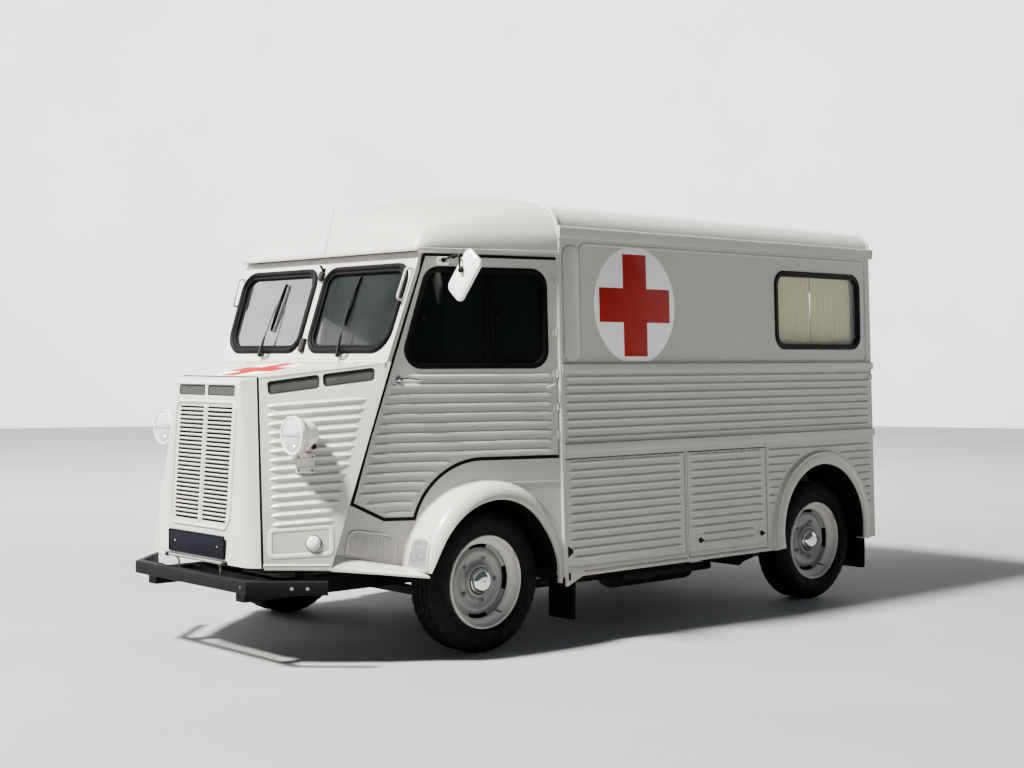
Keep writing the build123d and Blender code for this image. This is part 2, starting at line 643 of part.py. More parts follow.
with BuildPart() as steering_wheel:
    with BuildSketch(Plane(origin=column_plane.origin, x_dir=(1, 0, 0), z_dir=column_plane.y_dir * -1)):
        with Locations((205, 0)):
            Circle(13)
    revolve(axis=Axis(column_plane.origin, column_plane.z_dir))
    with BuildSketch(column_plane.offset(-14)):
        Circle(40)
    extrude(amount=30)
    with BuildSketch(column_plane.offset(-6)):
        Rectangle(404, 24)
        with Locations((0, -100)):
            Rectangle(24, 202)
    extrude(amount=12)

with BuildPart() as seat_frames:
    for side in (-1, 1):
        with BuildSketch(Plane.XY.offset(806)):
            with Locations((side * 520, -880)):
                Rectangle(430, 430)
                Rectangle(380, 380, mode=Mode.SUBTRACT)
        extrude(amount=90)
        with BuildSketch(Plane.XY.offset(896)):
            with Locations((side * 520, -880)):
                Rectangle(460, 440)
        extrude(amount=14)
        with BuildSketch(Plane.XZ.offset(640)):
            with Locations((side * 520, 1150)):
                RectangleRounded(430, 480, 40)
        extrude(amount=16)

with BuildPart() as seat_cushions:
    for side in (-1, 1):
        with BuildSketch(Plane.XY.offset(911)):
            with Locations((side * 520, -890)):
                RectangleRounded(460, 440, 60)
        extrude(amount=110)
        with BuildSketch(Plane.XZ.offset(658)):
            with Locations((side * 520, 1215)):
                RectangleRounded(450, 370, 60)
        extrude(amount=80)

# ------------------------------------------------------------------ glass and curtains of the box
with BuildPart() as left_pane:
    with BuildSketch(flank.offset(-12)):
        with Locations((WINDOW["y"], WINDOW["z"])):
            RectangleRounded(WINDOW["w"], WINDOW["h"], WINDOW["r"])
    extrude(amount=-6)

with BuildPart() as flank_windows:
    add(left_pane.part)
    mirror(about=Plane.YZ)

with BuildPart() as left_curtain:
    with BuildSketch(flank.offset(-46)):
        with Locations((WINDOW["y"], WINDOW["z"] - 4)):
            Rectangle(WINDOW["w"] + 30, WINDOW["h"] + 60)
    extrude(amount=-34)

with BuildPart() as curtains:
    add(left_curtain.part)
    mirror(about=Plane.YZ)

# ------------------------------------------------------------------ moving panels
hatches = {}
for name, y0, y1, z0, z1 in HATCHES:
    with BuildPart() as hatch:
        with BuildSketch(flank):
            with Locations(((y0 + y1) / 2, (z0 + z1) / 2)):
                Rectangle(y1 - y0 - 2 * LID_GAP, z1 - z0 - 2 * LID_GAP)
        extrude(amount=-LID_T)
    hatches[name] = hatch

with BuildPart() as sliding_mould:
    with BuildSketch(flank.offset(SLIDE_DOOR["off"])):
        with Locations(((SLIDE_DOOR["y0"] + SLIDE_DOOR["y1"]) / 2, (SLIDE_DOOR["z0"] + SLIDE_DOOR["z1"]) / 2)):
            RectangleRounded(SLIDE_DOOR["y1"] - SLIDE_DOOR["y0"], SLIDE_DOOR["z1"] - SLIDE_DOOR["z0"], 30)
    extrude(amount=SLIDE_DOOR["t"])

with BuildPart() as sliding_door:
    mirror(sliding_mould.part, about=Plane.YZ)

with BuildPart() as cab_door_left:
    with BuildSketch(door_plane):
        with BuildLine():
            Polyline(outline[0], outline[1], outline[2], outline[3])
            ThreePointArc(outline[3], outline[4], outline[5])
            Polyline(outline[5], outline[6], outline[7], outline[0])
        make_face()
        glass = on(door_plane, DOOR_GLASS)
        with BuildSketch(mode=Mode.PRIVATE) as glass_shape:
            with BuildLine():
                Polyline(*glass, close=True)
            make_face()
            fillet(glass_shape.vertices(), 70)
        add(glass_shape.sketch, mode=Mode.SUBTRACT)
    extrude(amount=-DOOR_T)
    split(bisect_by=Plane.XZ.offset(-BOX_FRONT + 6), keep=Keep.TOP)
    for cut in (door_front_cut, facet_rear_cut):
        inside = (900, -900, 1400)
        shift = 6.5 if side_of(cut, inside) == Keep.TOP else -6.5
        split(bisect_by=cut.offset(shift), keep=side_of(cut, inside))

with BuildPart() as cab_door_right:
    mirror(cab_door_left.part, about=Plane.YZ)

with BuildPart() as cab_door_glass_left:
    with BuildSketch(door_plane.offset(-14)):
        add(glass_shape.sketch)
    extrude(amount=-6)

with BuildPart() as cab_door_glass_right:
    mirror(cab_door_glass_left.part, about=Plane.YZ)

# mirror: base on the door's top rail, bent arm, slanted shell that faces the rear
MIRROR_C = (930.8, -1150.0, 1806.0)
mirror_plane = Plane(origin=MIRROR_C, x_dir=(cos(radians(24)), 0.0, -sin(radians(24))), z_dir=(0, -1, 0))
with BuildPart() as door_mirror:
    with BuildSketch(mirror_plane):
        RectangleRounded(132, 236, 44)
    extrude(amount=26)
    with BuildSketch(Plane(origin=(930.8, -1170, 1812), x_dir=(0, 1, 0), z_dir=(0, 0, 1))):
        Circle(7)
    extrude(amount=96)
    with BuildSketch(Plane(origin=(782, -1166, 1884), z_dir=(0.985, -0.02, 0.16))):
        Circle(7)
    extrude(amount=166)
    with BuildSketch(door_plane.offset(5.5)):
        with Locations(on(door_plane, ((777, -1162, 1876),))[0]):
            RectangleRounded(60, 44, 10)
    extrude(amount=-5)
    with BuildSketch(Plane(origin=(779, -1166, 1884), z_dir=(0.985, -0.02, 0.16))):
        Circle(12)
    extrude(amount=14)

with BuildPart() as tailgate:
    with BuildSketch(Plane.XZ.offset(-BOX_REAR)):
        with Locations((0, (1330 + 1962) / 2)):
            Rectangle(2 * 716, 1962 - 1330)
        with Locations((0, 1668)):
            RectangleRounded(1060, 380, 60, mode=Mode.SUBTRACT)
    extrude(amount=DOOR_T)
    fillet(tailgate.edges().filter_by(Axis.Y).group_by(Axis.Z)[-1], 54)

with BuildPart() as tailgate_glass:
    with BuildSketch(Plane.XZ.offset(-BOX_REAR + 12)):
        with Locations((0, 1668)):
            RectangleRounded(1060, 380, 60)
    extrude(amount=6)

rear_doors = {}
for side, name in ((1, "left"), (-1, "right")):
    with BuildPart() as rear_door:
        with BuildSketch(Plane.XZ.offset(-BOX_REAR)):
            with Locations((side * (716 + 3) / 2, (376 + 1322) / 2)):
                Rectangle(716 - 3, 1322 - 376)
        extrude(amount=DOOR_T)
    rear_doors[name] = rear_door

# ------------------------------------------------------------------ wheels
def rim_profile(side, cx):
    """Half section of a pressed steel wheel with its hub cap: x outwards from the hub, radius."""
    rows = (
        # x from the wheel's mid plane, radius
        (-84.0, 214.0), (-84.0, 225.7), (80.0, 225.7), (85.0, 216.0), (64.0, 196.0),
        (34.0, 186.0), (22.0, 120.0), (38.0, 92.0), (56.0, 40.0), (56.0, 0.0),
        (34.0, 0.0), (34.0, 25.0), (-40.0, 25.0), (-40.0, 52.0), (8.0, 66.0),
        (8.0, 130.0), (20.0, 196.0), (-40.0, 206.0),
    )
    with BuildSketch(Plane.XZ) as half:
        with BuildLine():
            Polyline(*[(cx + side * x, r) for x, r in rows], close=True)
        make_face()
    return half.sketch


def tyre_profile(side, cx):
    h = TYRE_W / 2
    with BuildSketch(Plane.XZ) as half:
        with BuildLine():
            Polyline((cx - 78, RIM_R), (cx + 78, RIM_R))
            ThreePointArc((cx + 78, RIM_R), (cx + h, RIM_R + 52), (cx + h - 12, WHEEL_R - 22))
            ThreePointArc((cx + h - 12, WHEEL_R - 22), (cx + h - 20, WHEEL_R - 7), (cx + h - 34, WHEEL_R))
            Line((cx + h - 34, WHEEL_R), (cx - h + 34, WHEEL_R))
            ThreePointArc((cx - h + 34, WHEEL_R), (cx - h + 20, WHEEL_R - 7), (cx - h + 12, WHEEL_R - 22))
            ThreePointArc((cx - h + 12, WHEEL_R - 22), (cx - h, RIM_R + 52), (cx - 78, RIM_R))
        make_face()
    return half.sketch


# columns: name, side, x of the wheel's mid plane, y of its axle
WHEELS = (
    ("front_left", 1, FRONT_WHEEL_X, FRONT_AXLE_Y),
    ("front_right", -1, FRONT_WHEEL_X, FRONT_AXLE_Y),
    ("rear_left", 1, REAR_WHEEL_X, REAR_AXLE_Y),
    ("rear_right", -1, REAR_WHEEL_X, REAR_AXLE_Y),
)
wheels = {}
for name, side, x, y in WHEELS:
    with BuildPart() as rim_blank:
        revolve(rim_profile(side, side * x), axis=Axis.X)
    with BuildPart() as tyre_blank:
        revolve(tyre_profile(side, side * x), axis=Axis.X)
    with BuildPart() as rim:
        add(rim_blank.part.moved(Location((0, y, WHEEL_R))))
    with BuildPart() as tyre:
        add(tyre_blank.part.moved(Location((0, y, WHEEL_R))))
    wheels["rim_" + name] = rim
    wheels["tyre_" + name] = tyre

with BuildPart() as mud_flaps:
    for side in (-1, 1):
        for y, x, low in ((-449, 860, 104), (2003, 861, 144)):   # rear face, middle, lower edge
            with BuildSketch(Plane.XZ.offset(-y)):
                with Locations((side * x, (low + FLOOR_Z0) / 2)):
                    Rectangle(190, FLOOR_Z0 - low)
            extrude(amount=6)

# ------------------------------------------------------------------ write the pieces
pieces = {
    "frame_rails": frame_rails, "cross_members": cross_members, "load_floor": load_floor, "cab_floor": cab_floor,
    "engine_block": engine_block, "front_axle": front_axle, "rear_axle": rear_axle,
    "exhaust": exhaust, "fuel_tank": fuel_tank, "box_side_left": box_side_left,
    "box_side_right": box_side_right, "box_roof": box_roof, "rear_frame": rear_frame,
    "cab_roof": cab_roof, "cab_sides": cab_sides, "front_fenders": front_fenders,
    "front_side_panels": front_side_panels, "nose_panel": nose_panel, "grille": grille,
    "windscreen_frame": windscreen_frame, "windscreen_glass": windscreen_glass,
    "front_bumper": front_bumper, "number_plate": number_plate, "headlights": headlights,
    "dashboard": dashboard, "steering_column": steering_column, "seat_frames": seat_frames,
    "seat_cushions": seat_cushions, "flank_windows": flank_windows, "curtains": curtains,
    "mud_flaps": mud_flaps, "hood": hood, "side_hatch_front": hatches["front"],
    "side_hatch_rear": hatches["rear"], "sliding_door": sliding_door,
    "cab_door_left": cab_door_left, "cab_door_right": cab_door_right,
    "cab_door_glass_left": cab_door_glass_left, "cab_door_glass_right": cab_door_glass_right,
    "door_mirror": door_mirror, "tailgate": tailgate, "tailgate_glass": tailgate_glass,
    "rear_door_left": rear_doors["left"], "rear_door_right": rear_doors["right"],
    "knuckle_left": knuckles["left"], "knuckle_right": knuckles["right"],
    "steering_wheel": steering_wheel,
}
pieces.update(wheels)
for label, piece in pieces.items():
    piece.part.label = label
    export_step(piece.part, f"parts/{label}.step")
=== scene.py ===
import json
import math
import random

import bmesh
import bpy
import numpy as np
from math import cos, sin, tan, pi, radians, sqrt
from mathutils import Matrix, Vector


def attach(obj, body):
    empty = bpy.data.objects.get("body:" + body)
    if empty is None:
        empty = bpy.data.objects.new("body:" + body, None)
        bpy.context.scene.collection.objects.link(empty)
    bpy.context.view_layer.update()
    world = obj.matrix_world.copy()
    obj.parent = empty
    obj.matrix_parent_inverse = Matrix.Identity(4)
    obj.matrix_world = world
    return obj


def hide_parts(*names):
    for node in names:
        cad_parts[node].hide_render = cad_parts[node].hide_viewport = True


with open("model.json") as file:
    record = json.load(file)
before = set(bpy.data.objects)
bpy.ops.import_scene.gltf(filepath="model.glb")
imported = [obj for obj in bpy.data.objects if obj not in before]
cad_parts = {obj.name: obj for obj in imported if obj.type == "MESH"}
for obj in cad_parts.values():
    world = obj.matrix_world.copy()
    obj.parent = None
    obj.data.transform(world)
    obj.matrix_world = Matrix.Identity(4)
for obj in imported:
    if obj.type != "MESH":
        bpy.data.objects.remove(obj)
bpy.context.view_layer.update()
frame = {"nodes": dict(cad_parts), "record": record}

MM = 0.001
LEAN = 2.0
NODES = frame["nodes"]


# ------------------------------------------------------------------ working planes, in millimetres
class Plane:
    def __init__(self, o, x, n):
        self.o, self.n = Vector(o), Vector(n).normalized()
        x = Vector(x)
        self.x = (x - self.n * x.dot(self.n)).normalized()
        self.y = self.n.cross(self.x)

    def p(self, u, v, w=0.0):
        return self.o + self.x * u + self.y * v + self.n * w

    def uv(self, p):
        d = Vector(p) - self.o
        return d.dot(self.x), d.dot(self.y)

    def w(self, p):
        return (Vector(p) - self.o).dot(self.n)

    def on(self, *pts):
        return [self.uv(p) for p in pts]


FLANK = Plane((1005.7, 0, 0), (0, 1, 0), (cos(radians(LEAN)), 0, sin(radians(LEAN))))
DOOR = Plane((1007.2, -565, 0), (0.26656, 0.96382, 0), (0.963275, -0.266412, 0.033554))
FACET = Plane((487, -1991, 457), (0.6551, 0.7556, 0), (0.7422, -0.6435, 0.1871))
NOSE = Plane((0, -1985, 1293), (1, 0, 0), (0, -0.99757, 0.06967))
TOP = Plane((0, -1915, 1327), (1, 0, 0), (0, -sin(radians(8.68)), cos(radians(8.68))))
SCREEN = Plane((0, -1436, 1458), (1, 0, 0), (0, -cos(radians(18.8)), sin(radians(18.8))))
REAR = Plane((0, 2058, 0), (-1, 0, 0), (0, 1, 0))


# ------------------------------------------------------------------ materials
def rgb(r, g, b):
    """sRGB 0-255 to linear."""
    out = []
    for c in (r, g, b):
        c /= 255.0
        out.append(c / 12.92 if c <= 0.04045 else ((c + 0.055) / 1.055) ** 2.4)
    return (*out, 1.0)


def new_mat(name):
    m = bpy.data.materials.new(name)
    m.use_nodes = True
    t = m.node_tree
    t.nodes.clear()
    out = t.nodes.new("ShaderNodeOutputMaterial")
    b = t.nodes.new("ShaderNodeBsdfPrincipled")
    t.links.new(b.outputs[0], out.inputs[0])
    return m, t, b


def noise(t, coord, scale, detail=3.0, rough=0.55, stretch=None):
    n = t.nodes.new("ShaderNodeTexNoise")
    n.inputs["Scale"].default_value = scale
    n.inputs["Detail"].default_value = detail
    n.inputs["Roughness"].default_value = rough
    if stretch:
        mp = t.nodes.new("ShaderNodeMapping")
        mp.inputs["Scale"].default_value = stretch
        t.links.new(coord, mp.inputs["Vector"])
        t.links.new(mp.outputs[0], n.inputs["Vector"])
    else:
        t.links.new(coord, n.inputs["Vector"])
    return n.outputs["Fac"]


def ramp(t, fac, lo, hi, a, b):
    r = t.nodes.new("ShaderNodeMapRange")
    r.inputs["From Min"].default_value, r.inputs["From Max"].default_value = lo, hi
    r.inputs["To Min"].default_value, r.inputs["To Max"].default_value = a, b
    t.links.new(fac, r.inputs["Value"])
    return r.outputs[0]


def mixc(t, fac, a, b):
    m = t.nodes.new("ShaderNodeMix")
    m.data_type = "RGBA"
    for sock, val in ((m.inputs["Factor"], fac), (m.inputs["A"], a), (m.inputs["B"], b)):
        if hasattr(val, "links"):
            t.links.new(val, sock)
        else:
            sock.default_value = val
    return m.outputs["Result"]


def math_node(t, op, a, b=None):
    n = t.nodes.new("ShaderNodeMath")
    n.operation = op
    for i, val in enumerate((a, b)):
        if val is None:
            continue
        if hasattr(val, "links"):
            t.links.new(val, n.inputs[i])
        else:
            n.inputs[i].default_value = val
    return n.outputs[0]


def coords(t):
    return t.nodes.new("ShaderNodeTexCoord").outputs["Object"]


def paint(name, color, rough=0.32, dirt=0.25, dirt_color=rgb(120, 108, 92), coat=0.35, peel=0.05, grime_top=0.75, metal=0.0, spec=0.5):
    """Sprayed paint: faint cloudiness, orange peel, road dust towards the ground, dulled patches."""
    m, t, b = new_mat(name)
    c = coords(t)
    cloud = noise(t, c, 1.7, 4.0)
    fine = noise(t, c, 46.0, 3.0)
    spots = noise(t, c, 9.0, 6.0, 0.7)
    dark = tuple(x * 0.86 for x in color[:3]) + (1.0,)
    light = tuple(min(1.0, x * 1.05) for x in color[:3]) + (1.0,)
    base = mixc(t, ramp(t, cloud, 0.35, 0.65, 0.0, 1.0), light, color)
    base = mixc(t, ramp(t, spots, 0.56, 0.78, 0.0, 0.5), base, dark)
    if dirt > 0:
        sep = t.nodes.new("ShaderNodeSeparateXYZ")
        t.links.new(c, sep.inputs[0])
        low = ramp(t, sep.outputs["Z"], 0.25, grime_top, 1.0, 0.0)
        patch = ramp(t, noise(t, c, 6.0, 5.0, 0.65, (1.0, 1.0, 0.35)), 0.35, 0.75, 0.0, 1.0)
        amount = math_node(t, "MULTIPLY", math_node(t, "MULTIPLY", low, patch), dirt)
        base = mixc(t, amount, base, dirt_color)
    t.links.new(base, b.inputs["Base Color"])
    r = ramp(t, spots, 0.3, 0.75, rough * 0.85, rough * 1.3)
    t.links.new(r, b.inputs["Roughness"])
    b.inputs["Metallic"].default_value = metal
    b.inputs["Specular IOR Level"].default_value = spec
    b.inputs["Coat Weight"].default_value = coat
    b.inputs["Coat Roughness"].default_value = 0.12
    bump = t.nodes.new("ShaderNodeBump")
    bump.inputs["Strength"].default_value = peel
    bump.inputs["Distance"].default_value = 0.002
    t.links.new(fine, bump.inputs["Height"])
    t.links.new(bump.outputs[0], b.inputs["Normal"])
    return m


def rubber(name, color=rgb(22, 22, 23), rough=0.62, grain=60.0, dust=0.25, spec=0.25):
    m, t, b = new_mat(name)
    c = coords(t)
    dusty = ramp(t, noise(t, c, 14.0, 5.0, 0.7), 0.45, 0.8, 0.0, dust)
    t.links.new(mixc(t, dusty, color, rgb(92, 86, 78)), b.inputs["Base Color"])
    t.links.new(ramp(t, noise(t, c, 30.0), 0.3, 0.7, rough * 0.85, min(1.0, rough * 1.15)), b.inputs["Roughness"])
    b.inputs["Specular IOR Level"].default_value = spec
    bump = t.nodes.new("ShaderNodeBump")
    bump.inputs["Strength"].default_value = 0.12
    bump.inputs["Distance"].default_value = 0.002
    t.links.new(noise(t, c, grain * 6, 2.0), bump.inputs["Height"])
    t.links.new(bump.outputs[0], b.inputs["Normal"])
    return m


def metal(name, color, rough=0.18, scratch=0.08, metallic=1.0, aniso=(1, 1, 1)):
    m, t, b = new_mat(name)
    c = coords(t)
    stain = noise(t, c, 22.0, 5.0, 0.65)
    dull = tuple(x * 0.72 for x in color[:3]) + (1.0,)
    t.links.new(mixc(t, ramp(t, stain, 0.5, 0.8, 0.0, 0.7), color, dull), b.inputs["Base Color"])
    t.links.new(ramp(t, noise(t, c, 60.0, 4.0, 0.6, aniso), 0.3, 0.75, rough * 0.7, rough * 1.5), b.inputs["Roughness"])
    b.inputs["Metallic"].default_value = metallic
    bump = t.nodes.new("ShaderNodeBump")
    bump.inputs["Strength"].default_value = scratch
    bump.inputs["Distance"].default_value = 0.001
    t.links.new(noise(t, c, 180.0, 3.0, 0.6, aniso), bump.inputs["Height"])
    t.links.new(bump.outputs[0], b.inputs["Normal"])
    return m


def glass(name, tint_and_painted_shade=(0.80, 0.86, 0.85, 1.0), alpha=0.30, rough=0.03, dust=0.05, ior=1.5, spec=0.6):
    """Thin automotive glass: tinted, partly seen through, glossy, with a faint uneven film of dust. A near-black tint
    is painted shade of what lies behind the glass.
    """
    m, t, b = new_mat(name)
    c = coords(t)
    film = ramp(t, noise(t, c, 2.2, 6.0, 0.6), 0.35, 0.8, 0.0, 1.0)
    hazy = tuple(x + (0.30 - x) * dust * 2 for x in tint_and_painted_shade[:3]) + (1.0,)
    t.links.new(mixc(t, film, tint_and_painted_shade, hazy), b.inputs["Base Color"])
    t.links.new(ramp(t, film, 0.0, 1.0, rough, rough + 0.05), b.inputs["Roughness"])
    t.links.new(ramp(t, film, 0.0, 1.0, alpha, min(1.0, alpha + dust)), b.inputs["Alpha"])
    b.inputs["IOR"].default_value = ior
    b.inputs["Specular IOR Level"].default_value = spec
    return m


BODY = rgb(176, 175, 170)
M = {
    "body_paint": paint("body_paint", BODY, rough=0.34, dirt=0.22, coat=0.18, spec=0.4),
    "chassis_paint": paint("chassis_paint", rgb(9, 9, 10), rough=0.6, dirt=0.03, coat=0.0, grime_top=1.4, spec=0.15),
    "floor_paint": paint("floor_paint", rgb(92, 92, 88), rough=0.5, dirt=0.3, coat=0.05, grime_top=1.6),
    "cab_trim": paint("cab_trim", rgb(70, 70, 68), rough=0.6, dirt=0.0, coat=0.0),
    "engine_metal": metal("engine_metal", rgb(78, 77, 74), rough=0.55, metallic=0.6, scratch=0.4),
    "exhaust_metal": metal("exhaust_metal", rgb(26, 25, 24), rough=0.65, metallic=0.3, scratch=0.3),
    "bumper_paint": paint("bumper_paint", rgb(10, 11, 14), rough=0.5, dirt=0.0, coat=0.0, spec=0.08, grime_top=0.6),
    "plate_paint": paint("plate_paint", rgb(10, 11, 19), rough=0.5, dirt=0.0, coat=0.0, spec=0.05),
    "lamp_paint": paint("lamp_paint", rgb(214, 212, 205), rough=0.25, dirt=0.0, coat=0.5),
    "clear_glass": glass("clear_glass", alpha=0.10, dust=0.03, spec=0.4),
    "seat_vinyl": rubber("seat_vinyl", rgb(30, 29, 28), 0.45, 40.0, 0.12),
    "curtain_cloth": paint("curtain_cloth", rgb(228, 222, 178), rough=0.95, dirt=0.0, coat=0.0),
    "flap_rubber": rubber("flap_rubber", rgb(9, 9, 9), 0.8, 60.0, 0.08, 0.1),
    "wheel_paint": paint("wheel_paint", rgb(196, 195, 191), rough=0.4, dirt=0.2, coat=0.1, grime_top=0.7),
    # darker silver of the disc, nuts and weight: partly their own silver, partly painted shade of the recessed dish
    "disc_silver_and_painted_shade": paint("disc_silver_and_painted_shade", rgb(132, 134, 134), rough=0.4, dirt=0.15, coat=0.1, grime_top=0.7, metal=0.25),
    "tyre_rubber": rubber("tyre_rubber", rgb(7, 7, 7), 0.75, 70.0, 0.06, 0.15),
    "control_plastic": rubber("control_plastic", rgb(20, 20, 20), 0.3, 30.0, 0.05),
    "mirror_shell": paint("mirror_shell", rgb(232, 231, 226), rough=0.22, dirt=0.0, coat=0.6),
    "seal_rubber": rubber("seal_rubber", rgb(12, 12, 13), 0.5, 60.0, 0.05, 0.15),
    "grey_seal": rubber("grey_seal", rgb(70, 72, 78), 0.42, 60.0, 0.12),
    "chrome": metal("chrome", rgb(222, 222, 220), rough=0.08, scratch=0.03),
    "steel": metal("steel", rgb(150, 150, 148), rough=0.30, scratch=0.1),
    "silver": metal("silver", rgb(190, 192, 194), rough=0.35, scratch=0.2, metallic=0.85),
    "red_paint": paint("red_paint", rgb(148, 5, 4), rough=0.5, dirt=0.0, coat=0.0, spec=0.25),
    "white_paint": paint("white_paint", rgb(240, 240, 238), rough=0.36, dirt=0.0, coat=0.12, spec=0.4),
    "mesh_dark": metal("mesh_dark", rgb(66, 67, 67), rough=0.7, metallic=0.0),
    "underseal": rubber("underseal", rgb(8, 8, 8), 0.85, 20.0, 0.05, 0.1),
    # near-black: the colour of small black parts, and painted shade where it fills openings, slots and the inside of
    # the lamps
    "black_and_painted_shade": rubber("black_and_painted_shade", rgb(12, 12, 12), 0.8, 20.0, 0.05),
    "lens_clear": glass("lens_clear", (0.92, 0.95, 0.96, 1.0), 0.22, 0.04),
    # near-black, mostly opaque glass: painted shade of the cab interior behind the windscreen and the door windows
    "cab_glass": glass("cab_glass", (0.010, 0.013, 0.013, 1.0), 0.60, 0.012, 0.03),
    "door_glass": glass("door_glass", (0.003, 0.004, 0.004, 1.0), 0.80, 0.012, 0.01, spec=0.22),
    "seal_black": rubber("seal_black", rgb(6, 6, 7), 0.6, 60.0, 0.02, 0.08),
    "indicator_lens": glass("indicator_lens", (0.80, 0.80, 0.78, 1.0), 0.80, 0.10),
    "mirror_silver": metal("mirror_silver", rgb(235, 237, 240), rough=0.06, scratch=0.01),
    "amber": glass("amber", rgb(226, 120, 20), 0.85, 0.15),
    "lens_red": glass("lens_red", rgb(170, 16, 14), 0.9, 0.15),
}
SLOT_OF = {s["node"]: s["material_slot"] for s in frame["record"]["subparts"]}
for node, obj in NODES.items():
    obj.data.materials.clear()
    obj.data.materials.append(M[SLOT_OF[node]])


# ------------------------------------------------------------------ stage
def stage():
    size = 30.0
    me = bpy.data.meshes.new("studio_floor")
    me.from_pydata([(-size, -size, 0), (size, -size, 0), (size, size, 0), (-size, size, 0)], [], [(0, 1, 2, 3)])
    floor = bpy.data.objects.new("studio_floor", me)
    bpy.context.scene.collection.objects.link(floor)
    m, t, b = new_mat("floor_plain")
    c = coords(t)
    t.links.new(mixc(t, ramp(t, noise(t, c, 0.6, 5.0), 0.3, 0.7, 0.0, 1.0), rgb(132, 132, 132), rgb(143, 142, 141)), b.inputs["Base Color"])
    b.inputs["Roughness"].default_value = 0.8
    me.materials.append(m)

    # pale curved wall behind the vehicle
    n, radius, height = 96, 24.0, 11.0
    wall = bpy.data.meshes.new("studio_wall")
    verts, faces = [], []
    for k in range(n + 1):
        a = radians(52.0 + 196.0 * k / n)
        verts += [(radius * cos(a), radius * sin(a), 0.0), (radius * cos(a), radius * sin(a), height)]
    for k in range(n):
        j = k + 1
        faces.append((2 * k, 2 * k + 1, 2 * j + 1, 2 * j))
    wall.from_pydata(verts, [], faces)
    w_obj = bpy.data.objects.new("studio_wall", wall)
    bpy.context.scene.collection.objects.link(w_obj)
    m, t, b = new_mat("wall_plain")
    c = coords(t)
    t.links.new(mixc(t, ramp(t, noise(t, c, 0.4, 4.0), 0.3, 0.7, 0.0, 1.0), rgb(214, 215, 216), rgb(224, 225, 226)), b.inputs["Base Color"])
    b.inputs["Roughness"].default_value = 0.9
    wall.materials.append(m)

    w = bpy.data.worlds.new("studio")
    w.use_nodes = True
    bg = w.node_tree.nodes["Background"]
    bg.inputs[0].default_value = (0.58, 0.78, 1.0, 1.0)
    bg.inputs[1].default_value = 0.13
    # the studio stays plain and pale where the wall ends
    t = w.node_tree
    pale = t.nodes.new("ShaderNodeBackground")
    pale.inputs[0].default_value = (0.78, 0.79, 0.80, 1.0)
    pale.inputs[1].default_value = 1.5
    path = t.nodes.new("ShaderNodeLightPath")
    mix = t.nodes.new("ShaderNodeMixShader")
    t.links.new(path.outputs["Is Camera Ray"], mix.inputs[0])
    t.links.new(bg.outputs[0], mix.inputs[1])
    t.links.new(pale.outputs[0], mix.inputs[2])
    t.links.new(mix.outputs[0], t.nodes["World Output"].inputs["Surface"])
    bpy.context.scene.world = w

    def area(name, loc, target, size, power, color=(1, 1, 1)):
        light = bpy.data.lights.new(name, "AREA")
        light.shape = "DISK"
        light.size = size
        light.energy = power
        light.color = color
        o = bpy.data.objects.new(name, light)
        o.location = loc
        o.rotation_euler = (Vector(target) - Vector(loc)).to_track_quat("-Z", "Y").to_euler()
        bpy.context.scene.collection.objects.link(o)

    area("key", (-2.4, -12.9, 19.0), (0.0, -0.4, 1.0), 3.2, 35000.0, (1.0, 0.965, 0.91))
    area("card", (-9.5, -4.6, 4.6), (0.0, -1.4, 1.4), 4.0, 400.0)
    area("backdrop", (-4.0, 3.5, 9.5), (-18.0, 15.0, 3.0), 4.0, 6500.0)


def camera():
    cam = bpy.data.cameras.new("camera")
    cam.sensor_fit = "HORIZONTAL"
    cam.sensor_width = 36.0
    cam.lens = 55.125
    cam.clip_end = 200.0
    o = bpy.data.objects.new("camera", cam)
    az, pitch = radians(47.8), radians(-1.04)
    d = Vector((-sin(az) * cos(pitch), cos(az) * cos(pitch), sin(pitch)))
    o.location = (6.541, -5.945, 1.429)
    o.rotation_euler = d.to_track_quat("-Z", "Y").to_euler()
    bpy.context.scene.collection.objects.link(o)
    bpy.context.scene.camera = o


stage()
camera()

# ------------------------------------------------------------------ mesh code, in millimetres
from mathutils.geometry import delaunay_2d_cdt


